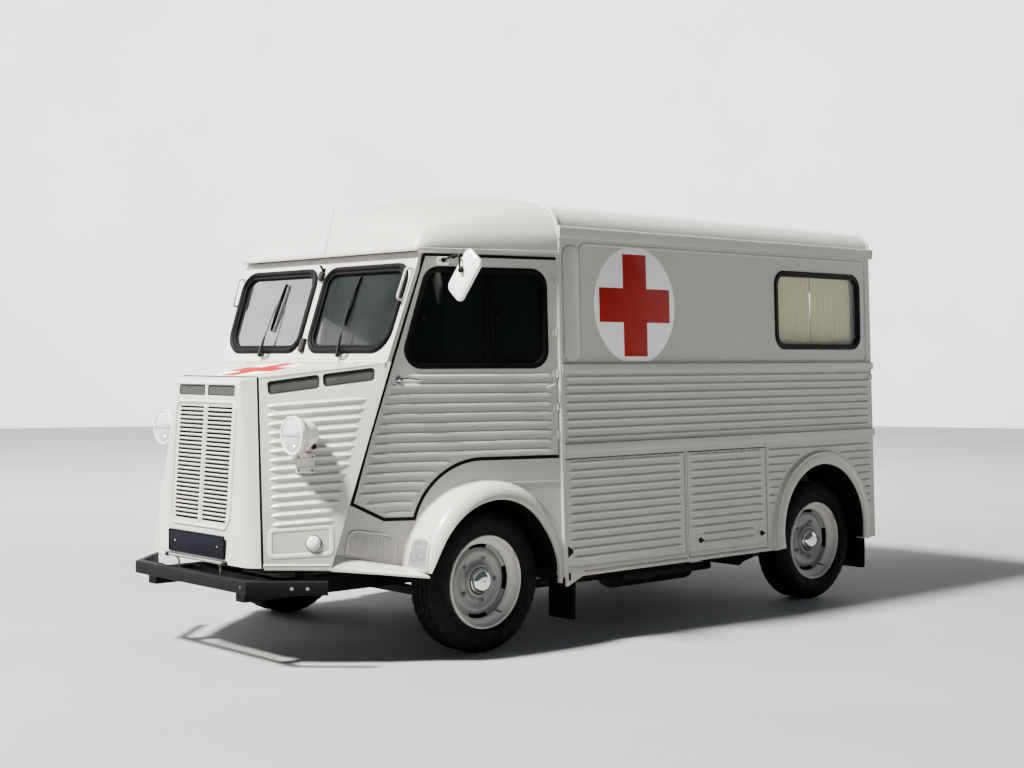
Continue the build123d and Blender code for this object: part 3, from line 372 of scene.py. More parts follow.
class Geo:
    """Collects faces in millimetres and turns them into one object."""

    def __init__(self):
        self.v, self.f, self.k, self.mat = [], [], [], 0

    def use(self, k):
        self.mat = k
        return self

    def put(self, pts, faces):
        n = len(self.v)
        self.v += [tuple(p) for p in pts]
        self.f += [tuple(n + i for i in f) for f in faces]
        self.k += [self.mat] * len(faces)
        return self

    def join(self, other):
        n = len(self.v)
        self.v += other.v
        self.f += [tuple(n + i for i in f) for f in other.f]
        self.k += other.k
        return self

    def flipped(self):
        g = Geo()
        g.v = [(-x, y, z) for x, y, z in self.v]
        g.f = [f[::-1] for f in self.f]
        g.k = list(self.k)
        return g

    def both(self):
        return self.join(self.flipped())

    def grid(self, rows, ring=False, loop=False, cap=False):
        """Skin between rows of points. ring closes each row, loop joins the last row to the first."""
        n, m = len(rows[0]), len(rows)
        pts = [p for r in rows for p in r]
        faces = []
        for j in range(m if loop else m - 1):
            a, b = j * n, ((j + 1) % m) * n
            for i in range(n if ring else n - 1):
                k = (i + 1) % n
                faces.append((a + i, a + k, b + k, b + i))
        if cap:
            faces.append(tuple(range(n))[::-1])
            faces.append(tuple((m - 1) * n + i for i in range(n)))
        return self.put(pts, faces)

    def make(self, name, body, mats, slot, replaces=(), angle=34.0, shell=0.0, out=None):
        me = bpy.data.meshes.new(name)
        me.from_pydata([(x * MM, y * MM, z * MM) for x, y, z in self.v], [], self.f)
        for m in mats:
            me.materials.append(M[m])
        me.polygons.foreach_set("material_index", self.k)
        bm = bmesh.new()
        bm.from_mesh(me)
        bmesh.ops.remove_doubles(bm, verts=bm.verts, dist=4e-6)
        bmesh.ops.dissolve_degenerate(bm, dist=2e-6, edges=bm.edges)
        bmesh.ops.recalc_face_normals(bm, faces=bm.faces)
        if shell:
            if out is not None:                      # out: a function giving the outward direction at a point
                good = sum(1 if f.normal.dot(Vector(out(f.calc_center_median() / MM))) > 0 else -1 for f in bm.faces)
                if good < 0:
                    bmesh.ops.reverse_faces(bm, faces=bm.faces)
        bm.to_mesh(me)
        bm.free()
        obj = bpy.data.objects.new(name, me)
        bpy.context.scene.collection.objects.link(obj)
        if shell:
            mod = obj.modifiers.new("sheet", "SOLIDIFY")
            mod.thickness, mod.offset, mod.use_even_offset = shell * MM, -1.0, False
            me = bpy.data.meshes.new_from_object(obj.evaluated_get(bpy.context.evaluated_depsgraph_get()))
            obj.modifiers.clear()
            obj.data = me
            me.name = name
        me.shade_smooth()
        me.set_sharp_from_angle(angle=radians(angle))
        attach(obj, body)
        if replaces:
            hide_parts(*replaces)
        return obj


def lerp(a, b, t):
    return tuple(x + (y - x) * t for x, y in zip(a, b))


def rounded(pts, radii, n=6):
    """Closed 2D outline with its corners rounded."""
    out, m = [], len(pts)
    for i in range(m):
        p0, p1, p2 = (Vector(pts[(i + k - 1) % m][:2]) for k in range(3))
        r = radii[i] if hasattr(radii, "__len__") else radii
        a, b = (p0 - p1).normalized(), (p2 - p1).normalized()
        c = max(-1.0, min(1.0, a.dot(b)))
        if r <= 0 or c < -0.999:
            out.append(tuple(p1))
            continue
        half = math.acos(c) / 2
        centre = p1 + (a + b).normalized() * (r / sin(half))
        s, e = p1 + a * (r / tan(half)) - centre, p1 + b * (r / tan(half)) - centre
        a0, a1 = math.atan2(s.y, s.x), math.atan2(e.y, e.x)
        d = (a1 - a0 + pi) % (2 * pi) - pi
        out += [(centre.x + r * cos(a0 + d * k / n), centre.y + r * sin(a0 + d * k / n)) for k in range(n + 1)]
    return out


def rect(cx, cy, w, h, r=0.0, n=6):
    pts = [(cx - w / 2, cy - h / 2), (cx + w / 2, cy - h / 2), (cx + w / 2, cy + h / 2), (cx - w / 2, cy + h / 2)]
    return rounded(pts, r, n) if r else pts


def circle(cx, cy, r, n=48, a0=0.0):
    return [(cx + r * cos(a0 + 2 * pi * k / n), cy + r * sin(a0 + 2 * pi * k / n)) for k in range(n)]


def area2(loop):
    return sum(a[0] * b[1] - b[0] * a[1] for a, b in zip(loop, loop[1:] + loop[:1])) / 2


def grown(loop, d, closed=True):
    """2D outline moved out by d. An open one is moved to its right."""
    sign = 1.0 if not closed or area2(loop) > 0 else -1.0
    m, out = len(loop), []
    for i in range(m):
        p = Vector(loop[i])
        a = Vector(loop[i - 1]) if closed or i else None
        b = Vector(loop[(i + 1) % m]) if closed or i < m - 1 else None
        e0 = (p - a).normalized() if a is not None else (b - p).normalized()
        e1 = (b - p).normalized() if b is not None else e0
        n0, n1 = Vector((e0.y, -e0.x)), Vector((e1.y, -e1.x))
        n = (n0 + n1)
        if n.length < 1e-6:
            n = n0
        n.normalize()
        k = max(0.35, n.dot(n0))
        q = p + n * (sign * d / k)
        out.append((q.x, q.y))
    return out


def edging(g, plane, loop, profile, closed=True):
    """Moulding along an outline on a plane. profile rows: distance outwards, height, closed section."""
    rows = [[plane.p(u, v, w) for u, v in grown(loop, s, closed)] for s, w in profile]
    if closed:
        return g.grid(rows, ring=True, loop=True)
    cols = [list(c) for c in zip(*rows)]
    return g.grid(cols, ring=True, cap=True)


def half_round(width, height, base=-0.6, n=7, s0=0.0):
    """Section of a bead: half ellipse on a closed base."""
    out = [(s0 - width / 2, base)]
    out += [(s0 - width / 2 * cos(pi * k / n), height * sin(pi * k / n)) for k in range(n + 1)]
    return out + [(s0 + width / 2, base)]


def within(loop, x, y):
    """Is the point inside a closed 2D outline?"""
    odd = False
    for a, b in zip(loop, loop[1:] + loop[:1]):
        if (a[1] > y) != (b[1] > y) and x < a[0] + (b[0] - a[0]) * (y - a[1]) / (b[1] - a[1]):
            odd = not odd
    return odd


def triangles(loops):
    """Triangles inside the first loop and outside the others: points, faces, and where each point came from."""
    flat, edges = [], []
    for l in loops:
        n = len(flat)
        flat += [Vector((p[0], p[1])) for p in l]
        edges += [(n + i, n + (i + 1) % len(l)) for i in range(len(l))]
    pts, _, tris, src, _, _ = delaunay_2d_cdt(flat, edges, [], 0, 1e-5)
    keep = []
    for t in tris:
        x, y = sum(pts[i].x for i in t) / 3, sum(pts[i].y for i in t) / 3
        if within(loops[0], x, y) and not any(within(l, x, y) for l in loops[1:]):
            keep.append(tuple(t))
    return pts, keep, src


def fill(g, plane, loops, w, flip=False):
    """Flat face with holes."""
    pts, tris, _ = triangles(loops)
    return g.put([plane.p(q.x, q.y, w) for q in pts], [tuple(t[::-1]) if flip else tuple(t) for t in tris])


def plate(g, plane, outline, w0, w1, edge=1.2, holes=(), under=True):
    """Flat sheet between heights w0 and w1 with a rounded upper edge, and holes with rounded rims."""
    loops = [outline] + list(holes)
    tops = []
    for k, loop in enumerate(loops):
        s = -1.0 if k == 0 else 1.0
        sec = [(0.0, w0), (0.0, w1 - edge), (0.3 * edge, w1 - 0.3 * edge), (edge, w1)] if edge else [(0.0, w0), (0.0, w1)]
        rings = [grown(loop, s * d) for d, _ in sec]
        g.grid([[plane.p(u, v, w) for u, v in ring] for ring, (_, w) in zip(rings, sec)], ring=True)
        tops.append(rings[-1])
    fill(g, plane, tops, w1)
    if under:
        fill(g, plane, loops, w0, True)
    return g


def rib(g, plane, a, b, width, height, taper=30.0, point=0.35, base=-0.8, n=8, steps=5):
    """Pressed rib from a to b on a plane: a bell section that runs out at both ends."""
    a, b = Vector(a), Vector(b)
    d = b - a
    length = d.length
    if length < 2.2 * taper:
        taper = length / 2.4
    d.normalize()
    side = Vector((-d.y, d.x))
    rows = []
    stations = [(taper * (1 - cos(pi / 2 * k / steps)) if False else taper * k / steps) for k in range(steps + 1)]
    ts = stations + [length - s for s in reversed(stations)]
    for t in ts:
        e = min(t, length - t) / taper
        e = max(0.0, min(1.0, e))
        wk = point + (1 - point) * sin(pi / 2 * e)
        hk = sin(pi / 2 * e) ** 1.2 * height
        c = a + d * t
        row = [(c - side * (width * wk / 2), base)]
        for k in range(n + 1):
            x = -1 + 2 * k / n
            h = hk * (0.5 + 0.5 * cos(pi * x)) ** 0.75
            row.append((c + side * (width * wk / 2 * x), h + 0.02))
        row.append((c + side * (width * wk / 2), base))
        rows.append([plane.p(q.x, q.y, w) for q, w in row])
    return g.grid(rows, ring=True, cap=True)


def tube(g, path, r, n=10, cap=True):
    """Round bar along points, with a frame carried along so it doesn't twist."""
    P = [Vector(p) for p in path]
    rs = r if hasattr(r, "__len__") else [r] * len(P)
    T = [(P[min(i + 1, len(P) - 1)] - P[max(i - 1, 0)]).normalized() for i in range(len(P))]
    u = T[0].orthogonal().normalized()
    rows = []
    for i, (p, t) in enumerate(zip(P, T)):
        u = (u - t * u.dot(t)).normalized()
        w = t.cross(u)
        rows.append([p + (u * cos(2 * pi * k / n) + w * sin(2 * pi * k / n)) * rs[i] for k in range(n)])
    return g.grid(rows, ring=True, cap=cap)


def bent(pts, r=20.0, n=6):
    """3D path with rounded corners."""
    P = [Vector(p) for p in pts]
    out = [tuple(P[0])]
    for a, p, b in zip(P, P[1:], P[2:]):
        u, w = (a - p), (b - p)
        t = min(r, 0.48 * u.length, 0.48 * w.length)
        s, e = p + u.normalized() * t, p + w.normalized() * t
        out += [tuple(s * (1 - k / n) ** 2 + p * 2 * (k / n) * (1 - k / n) + e * (k / n) ** 2) for k in range(n + 1)]
    return out + [tuple(P[-1])]


def sweep(g, path, section, up=(0, 0, 1), closed=False, cap=True):
    """Closed section (right, up) carried along a 3D path."""
    P = [Vector(p) for p in path]
    m = len(P)
    rows = []
    for i, p in enumerate(P):
        a = P[(i - 1) % m] if closed or i else p
        b = P[(i + 1) % m] if closed or i < m - 1 else p
        t = (b - a).normalized()
        side = t.cross(Vector(up)).normalized()
        top = side.cross(t)
        k = 1.0
        if a is not p and b is not p:
            c = (p - a).normalized().dot(t)
            k = 1.0 / max(0.4, c)
        rows.append([p + side * (s * k) + top * h for s, h in section])
    return g.grid(rows, ring=True, loop=closed, cap=cap and not closed)


def axes(n):
    n = Vector(n).normalized()
    u = n.orthogonal().normalized()
    return u, n.cross(u), n


def lathe(g, centre, axis, rows, n=48, start=None, skip=None):
    """Turned shape. rows: radius, distance along the axis. skip(row, step) leaves a cell open."""
    u, v, w = axes(axis)
    if start is not None:
        s = Vector(start)
        u = (s - w * s.dot(w)).normalized()
        v = w.cross(u)
    c = Vector(centre)
    pts, faces = [], []
    for r, h in rows:
        for k in range(n):
            a = 2 * pi * k / n
            pts.append(c + w * h + (u * cos(a) + v * sin(a)) * max(r, 1e-4))
    for j in range(len(rows) - 1):
        for k in range(n):
            if skip and skip(j, k):
                continue
            q = (k + 1) % n
            faces.append((j * n + k, j * n + q, (j + 1) * n + q, (j + 1) * n + k))
    return g.put(pts, faces)


def bolt(g, centre, axis, r=6.0, h=4.0, washer=True):
    """Hexagon head with a domed top on a washer."""
    u, v, w = axes(axis)
    c = Vector(centre)
    if washer:
        lathe(g, c, w, [(0, -0.5), (r * 1.45, -0.5), (r * 1.45, 0.8), (r * 1.3, 1.2), (0, 1.2)], 16)
    rows = []
    for rr, hh in ((r, 0.0), (r, h * 0.8), (r * 0.82, h), (0.01, h * 1.06)):
        rows.append([c + w * hh + (u * cos(pi / 3 * k) + v * sin(pi / 3 * k)) * rr for k in range(6)])
    return g.grid(rows, ring=True, cap=True)


def dome(g, centre, axis, r, h, n=16, base=-0.5):
    rows = [(0, base), (r, base)] + [(r * cos(pi / 2 * k / 5), h * sin(pi / 2 * k / 5)) for k in range(6)]
    return lathe(g, centre, axis, rows, n)


def clip_row(poly, v):
    """Where the level v is inside a closed outline: a list of (u0, u1)."""
    xs = []
    for a, b in zip(poly, poly[1:] + poly[:1]):
        if (a[1] - v) * (b[1] - v) < 0:
            xs.append(a[0] + (b[0] - a[0]) * (v - a[1]) / (b[1] - a[1]))
    xs.sort()
    return list(zip(xs[::2], xs[1::2]))


def arc3(a, b, c, n=16):
    """2D arc through three points."""
    (ax, ay), (bx, by), (cx, cy) = a, b, c
    d = 2 * (ax * (by - cy) + bx * (cy - ay) + cx * (ay - by))
    ux = ((ax * ax + ay * ay) * (by - cy) + (bx * bx + by * by) * (cy - ay) + (cx * cx + cy * cy) * (ay - by)) / d
    uy = ((ax * ax + ay * ay) * (cx - bx) + (bx * bx + by * by) * (ax - cx) + (cx * cx + cy * cy) * (bx - ax)) / d
    r = math.hypot(ax - ux, ay - uy)
    t0, t1, t2 = (math.atan2(y - uy, x - ux) for x, y in (a, b, c))
    span = (t2 - t0) % (2 * pi)
    if not (t1 - t0) % (2 * pi) < span:
        span -= 2 * pi
    return [(ux + r * cos(t0 + span * k / n), uy + r * sin(t0 + span * k / n)) for k in range(n + 1)]


def mesh_wires(g, plane, outline, w, pitch=8.0, r=0.8, angle=45.0):
    """Woven wire filling an outline: two sets of thin bars cut to it."""
    for turn, dw in ((angle, 0.0), (-angle, 2 * r)):
        c, s = cos(radians(turn)), sin(radians(turn))
        rot = [(u * c + v * s, -u * s + v * c) for u, v in outline]
        lo, hi = min(p[1] for p in rot), max(p[1] for p in rot)
        k = lo + pitch / 2
        while k < hi:
            for a, b in clip_row(rot, k):
                p0, p1 = (a * c - k * s, a * s + k * c), (b * c - k * s, b * s + k * c)
                tube(g, [plane.p(*p0, w + dw), plane.p(*p1, w + dw)], r, 4)
            k += pitch
    return g


# ------------------------------------------------------------------ box body: both flanks
ARCH = (1535.0, 420.0)
HATCH = {"side_hatch_front": (-545.0, 343.0), "side_hatch_rear": (359.0, 1026.0)}
HATCH_Z = (352.0, 918.0)
WIN = (1545.0, 1689.0, 770.0, 406.0, 62.0)
RIB_W, RIB_H = 24.0, 10.5


def flank_ribs(g, y0, y1, low=1018.0, count=8, step=43.0, height=RIB_H):
    for i in range(count):
        rib(g, FLANK, (y0, low + step * i), (y1, low + step * i), RIB_W, height, 34.0)


def rail_cover(g, v, y0, y1, proud=18.0, h=40.0):
    """Rounded pressing over a body rail."""
    a, b = v - h / 2 - 1.5, v + h / 2 + 1.5
    sec = [(a - 3, -0.6), (a - 3, 1.0), (a, 3.0)]
    sec += [(a + 7 - 7 * cos(pi / 2 * k / 4), proud - 6 + 7 * sin(pi / 2 * k / 4)) for k in range(5)]
    sec += [(b - 7 + 7 * sin(pi / 2 * k / 4), proud - 6 + 7 * cos(pi / 2 * k / 4)) for k in range(5)]
    sec += [(b, 3.0), (b + 3, 1.0), (b + 3, -0.6)]
    rows = []
    for y, k in ((y0, 0.82), (y0 + 5, 0.96), (y0 + 12, 1.0), (y1 - 12, 1.0), (y1 - 5, 0.96), (y1, 0.82)):
        rows.append([FLANK.p(y, v + (s - v) * (0.9 + 0.1 * k), max(w, 0) * k if w > 0 else w) for s, w in sec])
    g.grid(rows, ring=True, cap=True)


def arch_cover(g):
    """Rolled lip round the rear wheel opening, run down to the sill."""
    sec = [(458, -0.6), (457, 2), (452, 8), (444, 15), (433, 21), (418, 25.5), (402, 27), (388, 26.5), (381, 24.5), (377.5, 21),
           (377.2, 17), (382, 17), (384, -0.6)]
    t0 = math.asin((336 - ARCH[1]) / 415.0)
    rows = []
    for k in range(61):
        t = t0 + (pi - 2 * t0) * k / 60
        rows.append([FLANK.p(ARCH[0] + r * cos(t), ARCH[1] + r * sin(t), w) for r, w in sec])
    g.grid(rows, ring=True, cap=True)


def arch_liner(g):
    """Dark inner edge of the rear wheel opening."""
    t0 = math.asin((344 - ARCH[1]) / 378.0)
    rows = []
    for k in range(61):
        t = t0 + (pi - 2 * t0) * k / 60
        rows.append([FLANK.p(ARCH[0] + r * cos(t), ARCH[1] + r * sin(t), w) for r, w in ((376.2, 16.0), (376.2, -46.0), (379.2, -46.0), (379.2, 16.0))])
    g.grid(rows, ring=True, cap=True)


def fixed_ribs(g, right=False):
    """Ribs of the wall round the wheel arch, each stopped short of the lip."""
    for i in range(13):
        v = 895.0 - 43.0 * i
        if abs(v - ARCH[1]) < 470:
            d = sqrt(470.0 ** 2 - (v - ARCH[1]) ** 2)
            runs = [(1046.0, ARCH[0] - d), (ARCH[0] + d, 2034.0)]
        else:
            runs = [(1046.0, 2034.0)]
        for a, b in runs:
            if b - a > 46:
                rib(g, FLANK, (a, v), (b, v), RIB_W - 3, RIB_H, 26.0)


def flank_common(g):
    rail_cover(g, 968.0, -558.0, 2051.0)
    rail_cover(g, 1367.0, -558.0, 2051.0)
    arch_cover(g)


# left flank
g = Geo()
flank_ribs(g, -532.0, 2030.0)
fixed_ribs(g)
g.make("flank_ribs_left", "vehicle_body", ["body_paint"], "body_paint")

g = Geo()
flank_common(g)
# narrow post between the lids and the one behind them
for y in (351.0, 1034.0):
    plate(g, FLANK, rect(y, 640.0, 11.0, 590.0, 2.0, 3), -4.0, 3.2, 1.0)
g.make("flank_rails_left", "vehicle_body", ["body_paint"], "body_paint", angle=40)

g = Geo()
arch_liner(g)
g.both().make("arch_liners", "vehicle_body", ["underseal"], "chassis_paint", angle=60)

# folded front corners of the box, facing forward beside the doors
g = Geo()
sec = [(2.0, -46.0), (7.0, -46.0), (9.5, -44.0), (10.0, -40.0), (10.0, 7.0), (8.5, 11.0), (4.0, 13.6), (-2.0, 14.4), (-10.0, 14.4), (-13.0, 13.0), (-14.5, 9.0), (-15.0, -1.0), (2.0, -6.0)]
g.grid([[FLANK.p(-565.0 - d, z, w) for d, w in sec] for z in (344.0, 600.0, 900.0, 1200.0, 1500.0, 1800.0, 1955.0, 2036.0)], ring=True, cap=True)
g.both().make("box_front_corners", "vehicle_body", ["body_paint"], "body_paint", angle=50)

PANEL = rect(802.5, 1692.5, 2415.0, 595.0, 36.0, 6)
PAD = rect(-477.0, 1690.0, 112.0, 578.0, 52.0, 8)
g = Geo()
edging(g, FLANK, PANEL, half_round(15.0, 5.0))
plate(g, FLANK, PAD, -0.8, 7.0, 5.0)
g.make("flank_panel_frame_left", "vehicle_body", ["body_paint"], "body_paint", angle=50)

# right flank: the sliding door covers Y -524..252, so the ribs beside it stay low
g = Geo()
for i in range(8):
    v = 1018.0 + 43.0 * i
    rib(g, FLANK, (262.0, v), (996.0, v), RIB_W, 3.6, 34.0)
    rib(g, FLANK, (1016.0, v), (2030.0, v), RIB_W, RIB_H, 34.0)
for i in range(13):
    v = 379.0 + 43.0 * i
    rib(g, FLANK, (262.0, v), (996.0, v), RIB_W, 3.6, 34.0)
fixed_ribs(g)
g.flipped().make("flank_ribs_right", "vehicle_body", ["body_paint"], "body_paint")

g = Geo()
rail_cover(g, 968.0, 1003.0, 2051.0)
rail_cover(g, 1367.0, 1003.0, 2051.0)
rail_cover(g, 1957.0, -548.0, 1005.0, 18.0, 46.0)
arch_cover(g)
g.flipped().make("flank_rails_right", "vehicle_body", ["body_paint"], "body_paint", angle=40)

g = Geo()
edging(g, FLANK, rect(1510.0, 1692.5, 1000.0, 570.0, 36.0, 6), half_round(15.0, 5.0))
g.flipped().make("flank_panel_frame_right", "vehicle_body", ["body_paint"], "body_paint", angle=50)

# ------------------------------------------------------------------ lower hatches
for name, (y0, y1) in HATCH.items():
    g = Geo()
    a, b = y0 + 5.0, y1 - 5.0
    z0, z1 = HATCH_Z[0] + 5.0, HATCH_Z[1] - 5.0
    rear = name.endswith("rear")
    for i in range(13):
        v = 379.0 + 43.0 * i
        if i == 0:
            continue
        if rear and i in (1, 2):
            rib(g, FLANK, (a + 108, v), (b - 108, v), RIB_W, RIB_H, 20.0)
        elif i == 1 and not rear:
            rib(g, FLANK, (a + 40, v), (b - 22, v), RIB_W, RIB_H, 34.0)
        else:
            rib(g, FLANK, (a + 22, v), (b - 22, v), RIB_W, RIB_H, 34.0)
    # turned-out drip edge along the bottom
    sec = [(z0 + 24, -1), (z0 + 24, 1.0), (z0 + 16, 5.0), (z0 + 3, 9.0), (z0, 8.5), (z0, -1)]
    g.grid([[FLANK.p(y, v, w) for v, w in sec] for y in (a + 1.5, a + 3, b - 3, b - 1.5)], ring=True, cap=True)
    # hinge along the top edge
    for k in range(9):
        c = a + 40 + (b - a - 80) * k / 8
        tube(g, [FLANK.p(c - 26, z1 - 5, 2.4), FLANK.p(c + 26, z1 - 5, 2.4)], 3.6, 8)
    g.make(name + "_pressing", name, ["body_paint"], "body_paint", angle=40)

g = Geo()
for y in (455.0, 973.0):
    plate(g.use(0), FLANK, rect(y, 436.0, 62.0, 72.0, 8.0, 4), -0.8, 2.0, 0.8)
    lathe(g.use(1), FLANK.p(y, 436.0, 2.0), FLANK.n, [(0, -0.5), (15, -0.5), (15, 3), (12, 5), (0, 5)], 20)
    plate(g.use(1), FLANK, rect(y + 2, 436.0, 30.0, 12.0, 5.5, 4), 4.0, 15.0, 2.0)
g.make("hatch_latches_rear", "side_hatch_rear", ["body_paint", "seal_rubber"], "control_plastic", angle=40)
g = Geo()
plate(g, FLANK, [(-536, 428), (-500, 452), (-500, 460), (-536, 486)], -0.8, 3.0, 0.8)
lathe(g, FLANK.p(-519.0, 456.0, 3.0), FLANK.n, [(0, -0.5), (13, -0.5), (13, 5), (10, 8), (0, 8)], 20)
g.make("hatch_latch_front", "side_hatch_front", ["seal_rubber"], "control_plastic", angle=40)

# ------------------------------------------------------------------ box windows
WIN_LOOP = rect(WIN[0], WIN[1], WIN[2], WIN[3], WIN[4], 8)
GASKET = [(-9, -30), (-9, 2), (-7, 5.5), (-2, 7.0), (2, 5.0), (6, 7.5), (13, 9.0), (19, 7.0), (22, 2.5), (22, -0.6), (1, -0.6), (0.5, -30)]
for side, tag in ((1, "left"), (-1, "right")):
    g = Geo()
    edging(g, FLANK, WIN_LOOP, GASKET)
    (g if side > 0 else g.flipped()).make("window_seal_" + tag, "vehicle_body", ["seal_rubber"], "flap_rubber", angle=50)


def cross_sign(name, plane, u, v, radius, arm, width, body, mirror=False, squash=1.0, base=0.35):
    """White disc with a plain red cross, each a thin separate layer."""
    for part, outline, w0, w1, mat in (
        ("disc", [(x, v + (y - v) * squash) for x, y in circle(u, v, radius, 96)], -0.5, base, "white_paint"),
        ("cross", [(u + x, v + y * squash) for x, y in (
            (-width, -arm), (width, -arm), (width, -width), (arm, -width), (arm, width), (width, width),
            (width, arm), (-width, arm), (-width, width), (-arm, width), (-arm, -width), (-width, -width))],
            base - 0.3, base + 0.5, "red_paint"),
    ):
        g = Geo()
        plate(g, plane, outline, w0, w1, 0.15)
        (g.flipped() if mirror else g).make(f"{name}_{part}", body, [mat], "body_paint")


cross_sign("sign_left", FLANK, -12.0, 1688.5, 303.0, 264.0, 88.0, "vehicle_body")

# ------------------------------------------------------------------ gutters and joint band of the box roof
g = Geo()
sec = [(928, 2013), (955.5, 2013), (957.2, 2016), (957.4, 2058), (960.5, 2062), (961.0, 2066), (958, 2068.5), (954.5, 2068),
       (953.4, 2064.2), (936, 2064), (936, 2040), (928, 2040)]
g.grid([[(x, y, z) for x, z in sec] for y in (-566.0, 2059.5)], ring=True, cap=True)
for y in (-566.5, 2060.0):
    g.grid([[(x, y + d, z) for x, z in ((926, 2011), (959, 2011), (962.4, 2060), (962, 2070), (926, 2070))] for d in (-2.0, 2.0)], ring=True, cap=True)
g.both().make("box_gutters", "vehicle_body", ["body_paint"], "body_paint", angle=30)


def box_section(y, out=0.0, low=2018.0, n=14):
    """Outer line of the box roof at y, moved out by out, from the right gutter over the top to the left one."""
    t = (y + 565.0) / 2623.0
    crown, shoulder = 2260.0 - 6.0 * t + out, 2170.0 - 8.0 * t + out * 0.85
    edge = 1005.7 - 2018.0 * tan(radians(2.0)) + out
    sx = 826.0 + out * 0.6
    mx, mz = edge - 0.29 * (edge - sx) - 2, 2054.0 + 0.70 * (shoulder - 2054.0)
    side = [(edge, low)] + arc3((edge - 1.3, 2054.0), (mx, mz), (sx, shoulder), n)
    top = arc3((sx, shoulder), (0, crown), (-sx, shoulder), 2 * n)[1:-1]
    return side + top + [(-x, z) for x, z in side[::-1]]


g = Geo()
rows = []
for y, o in ((-571.0, -2.0), (-571.0, 5.0), (-568.0, 8.0), (-560.0, 9.0), (-552.0, 8.0), (-548.0, 4.0), (-547.0, -2.0)):
    rows.append([(x, y, z) for x, z in box_section(y, o, 2070.0)])
g.grid(rows + [rows[0]], cap=False)
for end in (0, -1):
    g.put([r[end] for r in rows], [tuple(range(len(rows)))])
g.make("roof_joint_band", "vehicle_body", ["body_paint"], "body_paint", angle=50)

g = Geo()                                            # the band's lower ends, between the cab roof and the gutters
rows = []
for z, x in ((1926.0, 954.0), (1932.0, 957.5), (1965.0, 957.5), (2000.0, 955.5), (2030.0, 952.5), (2055.0, 949.0), (2078.0, 944.0)):
    rows.append([(x - 30, -572.0, z), (x - 3, -572.0, z), (x, -569.0, z), (x + 0.6, -560.0, z), (x, -551.0, z), (x - 4, -548.0, z), (x - 30, -548.0, z)])
g.grid(rows, ring=True, cap=True)
g.both().make("roof_band_ends", "vehicle_body", ["body_paint"], "body_paint", angle=50)

g = Geo()                                            # turned edge of the roof skin at the rear
rows = []
for y, o in ((2046.0, -1.0), (2047.0, 4.0), (2052.0, 6.0), (2060.0, 6.0), (2063.0, 3.0), (2063.0, -3.0)):
    rows.append([(x, y, z) for x, z in box_section(y, o, 2070.0)])
g.grid(rows + [rows[0]])
for end in (0, -1):
    g.put([r[end] for r in rows], [tuple(range(len(rows)))])
g.make("roof_rear_edge", "vehicle_body", ["body_paint"], "body_paint", angle=50)

# ------------------------------------------------------------------ sill strips under the hatches, front post of the box
g = Geo()
sec = [(330, -30), (330, 1.0), (334, 4.0), (344, 4.5), (348, 2.0), (349.5, -0.6), (352, -2), (352, -30)]
g.grid([[FLANK.p(y, v, w) for v, w in sec] for y in (-560.0, 1078.0)], ring=True, cap=True)
g.both().make("sill_strips", "vehicle_body", ["body_paint"], "body_paint", angle=50)
g = Geo()
tri = rounded([(-558.0, 288.0), (-546.0, 288.0), (-424.0, 338.0), (-424.0, 352.0), (-558.0, 392.0)], [4, 6, 5, 5, 4], 4)
plate(g, FLANK, tri, -3.0, 6.0, 1.2)
plate(g.use(1), FLANK, rect(-534.0, 334.0, 15.0, 38.0, 3.0, 4), 5.0, 7.2, 0.6)
for v in (306.0, 362.0):
    bolt(g.use(2), FLANK.p(-534.0, v, 5.8), FLANK.n, 4.0, 3.0, False)
g.make("sill_bracket", "vehicle_body", ["body_paint", "black_and_painted_shade", "steel"], "body_paint", angle=40)

# fitting at the rear end of the belt rail
g = Geo()
plate(g, FLANK, rect(2030.0, 1302.0, 28.0, 52.0, 6.0, 4), -1.0, 3.0, 1.0)
tube(g, bent([FLANK.p(2030.0, 1316.0, 2.0), FLANK.p(2030.0, 1316.0, 20.0), FLANK.p(2030.0, 1286.0, 20.0), FLANK.p(2030.0, 1286.0, 2.0)], 8.0), 4.0, 8)
g.make("flank_hook", "vehicle_body", ["body_paint"], "body_paint", angle=40)
# ------------------------------------------------------------------ nose
def top_z(y):
    return 1327.0 + (y + 1915.0) * 0.152655


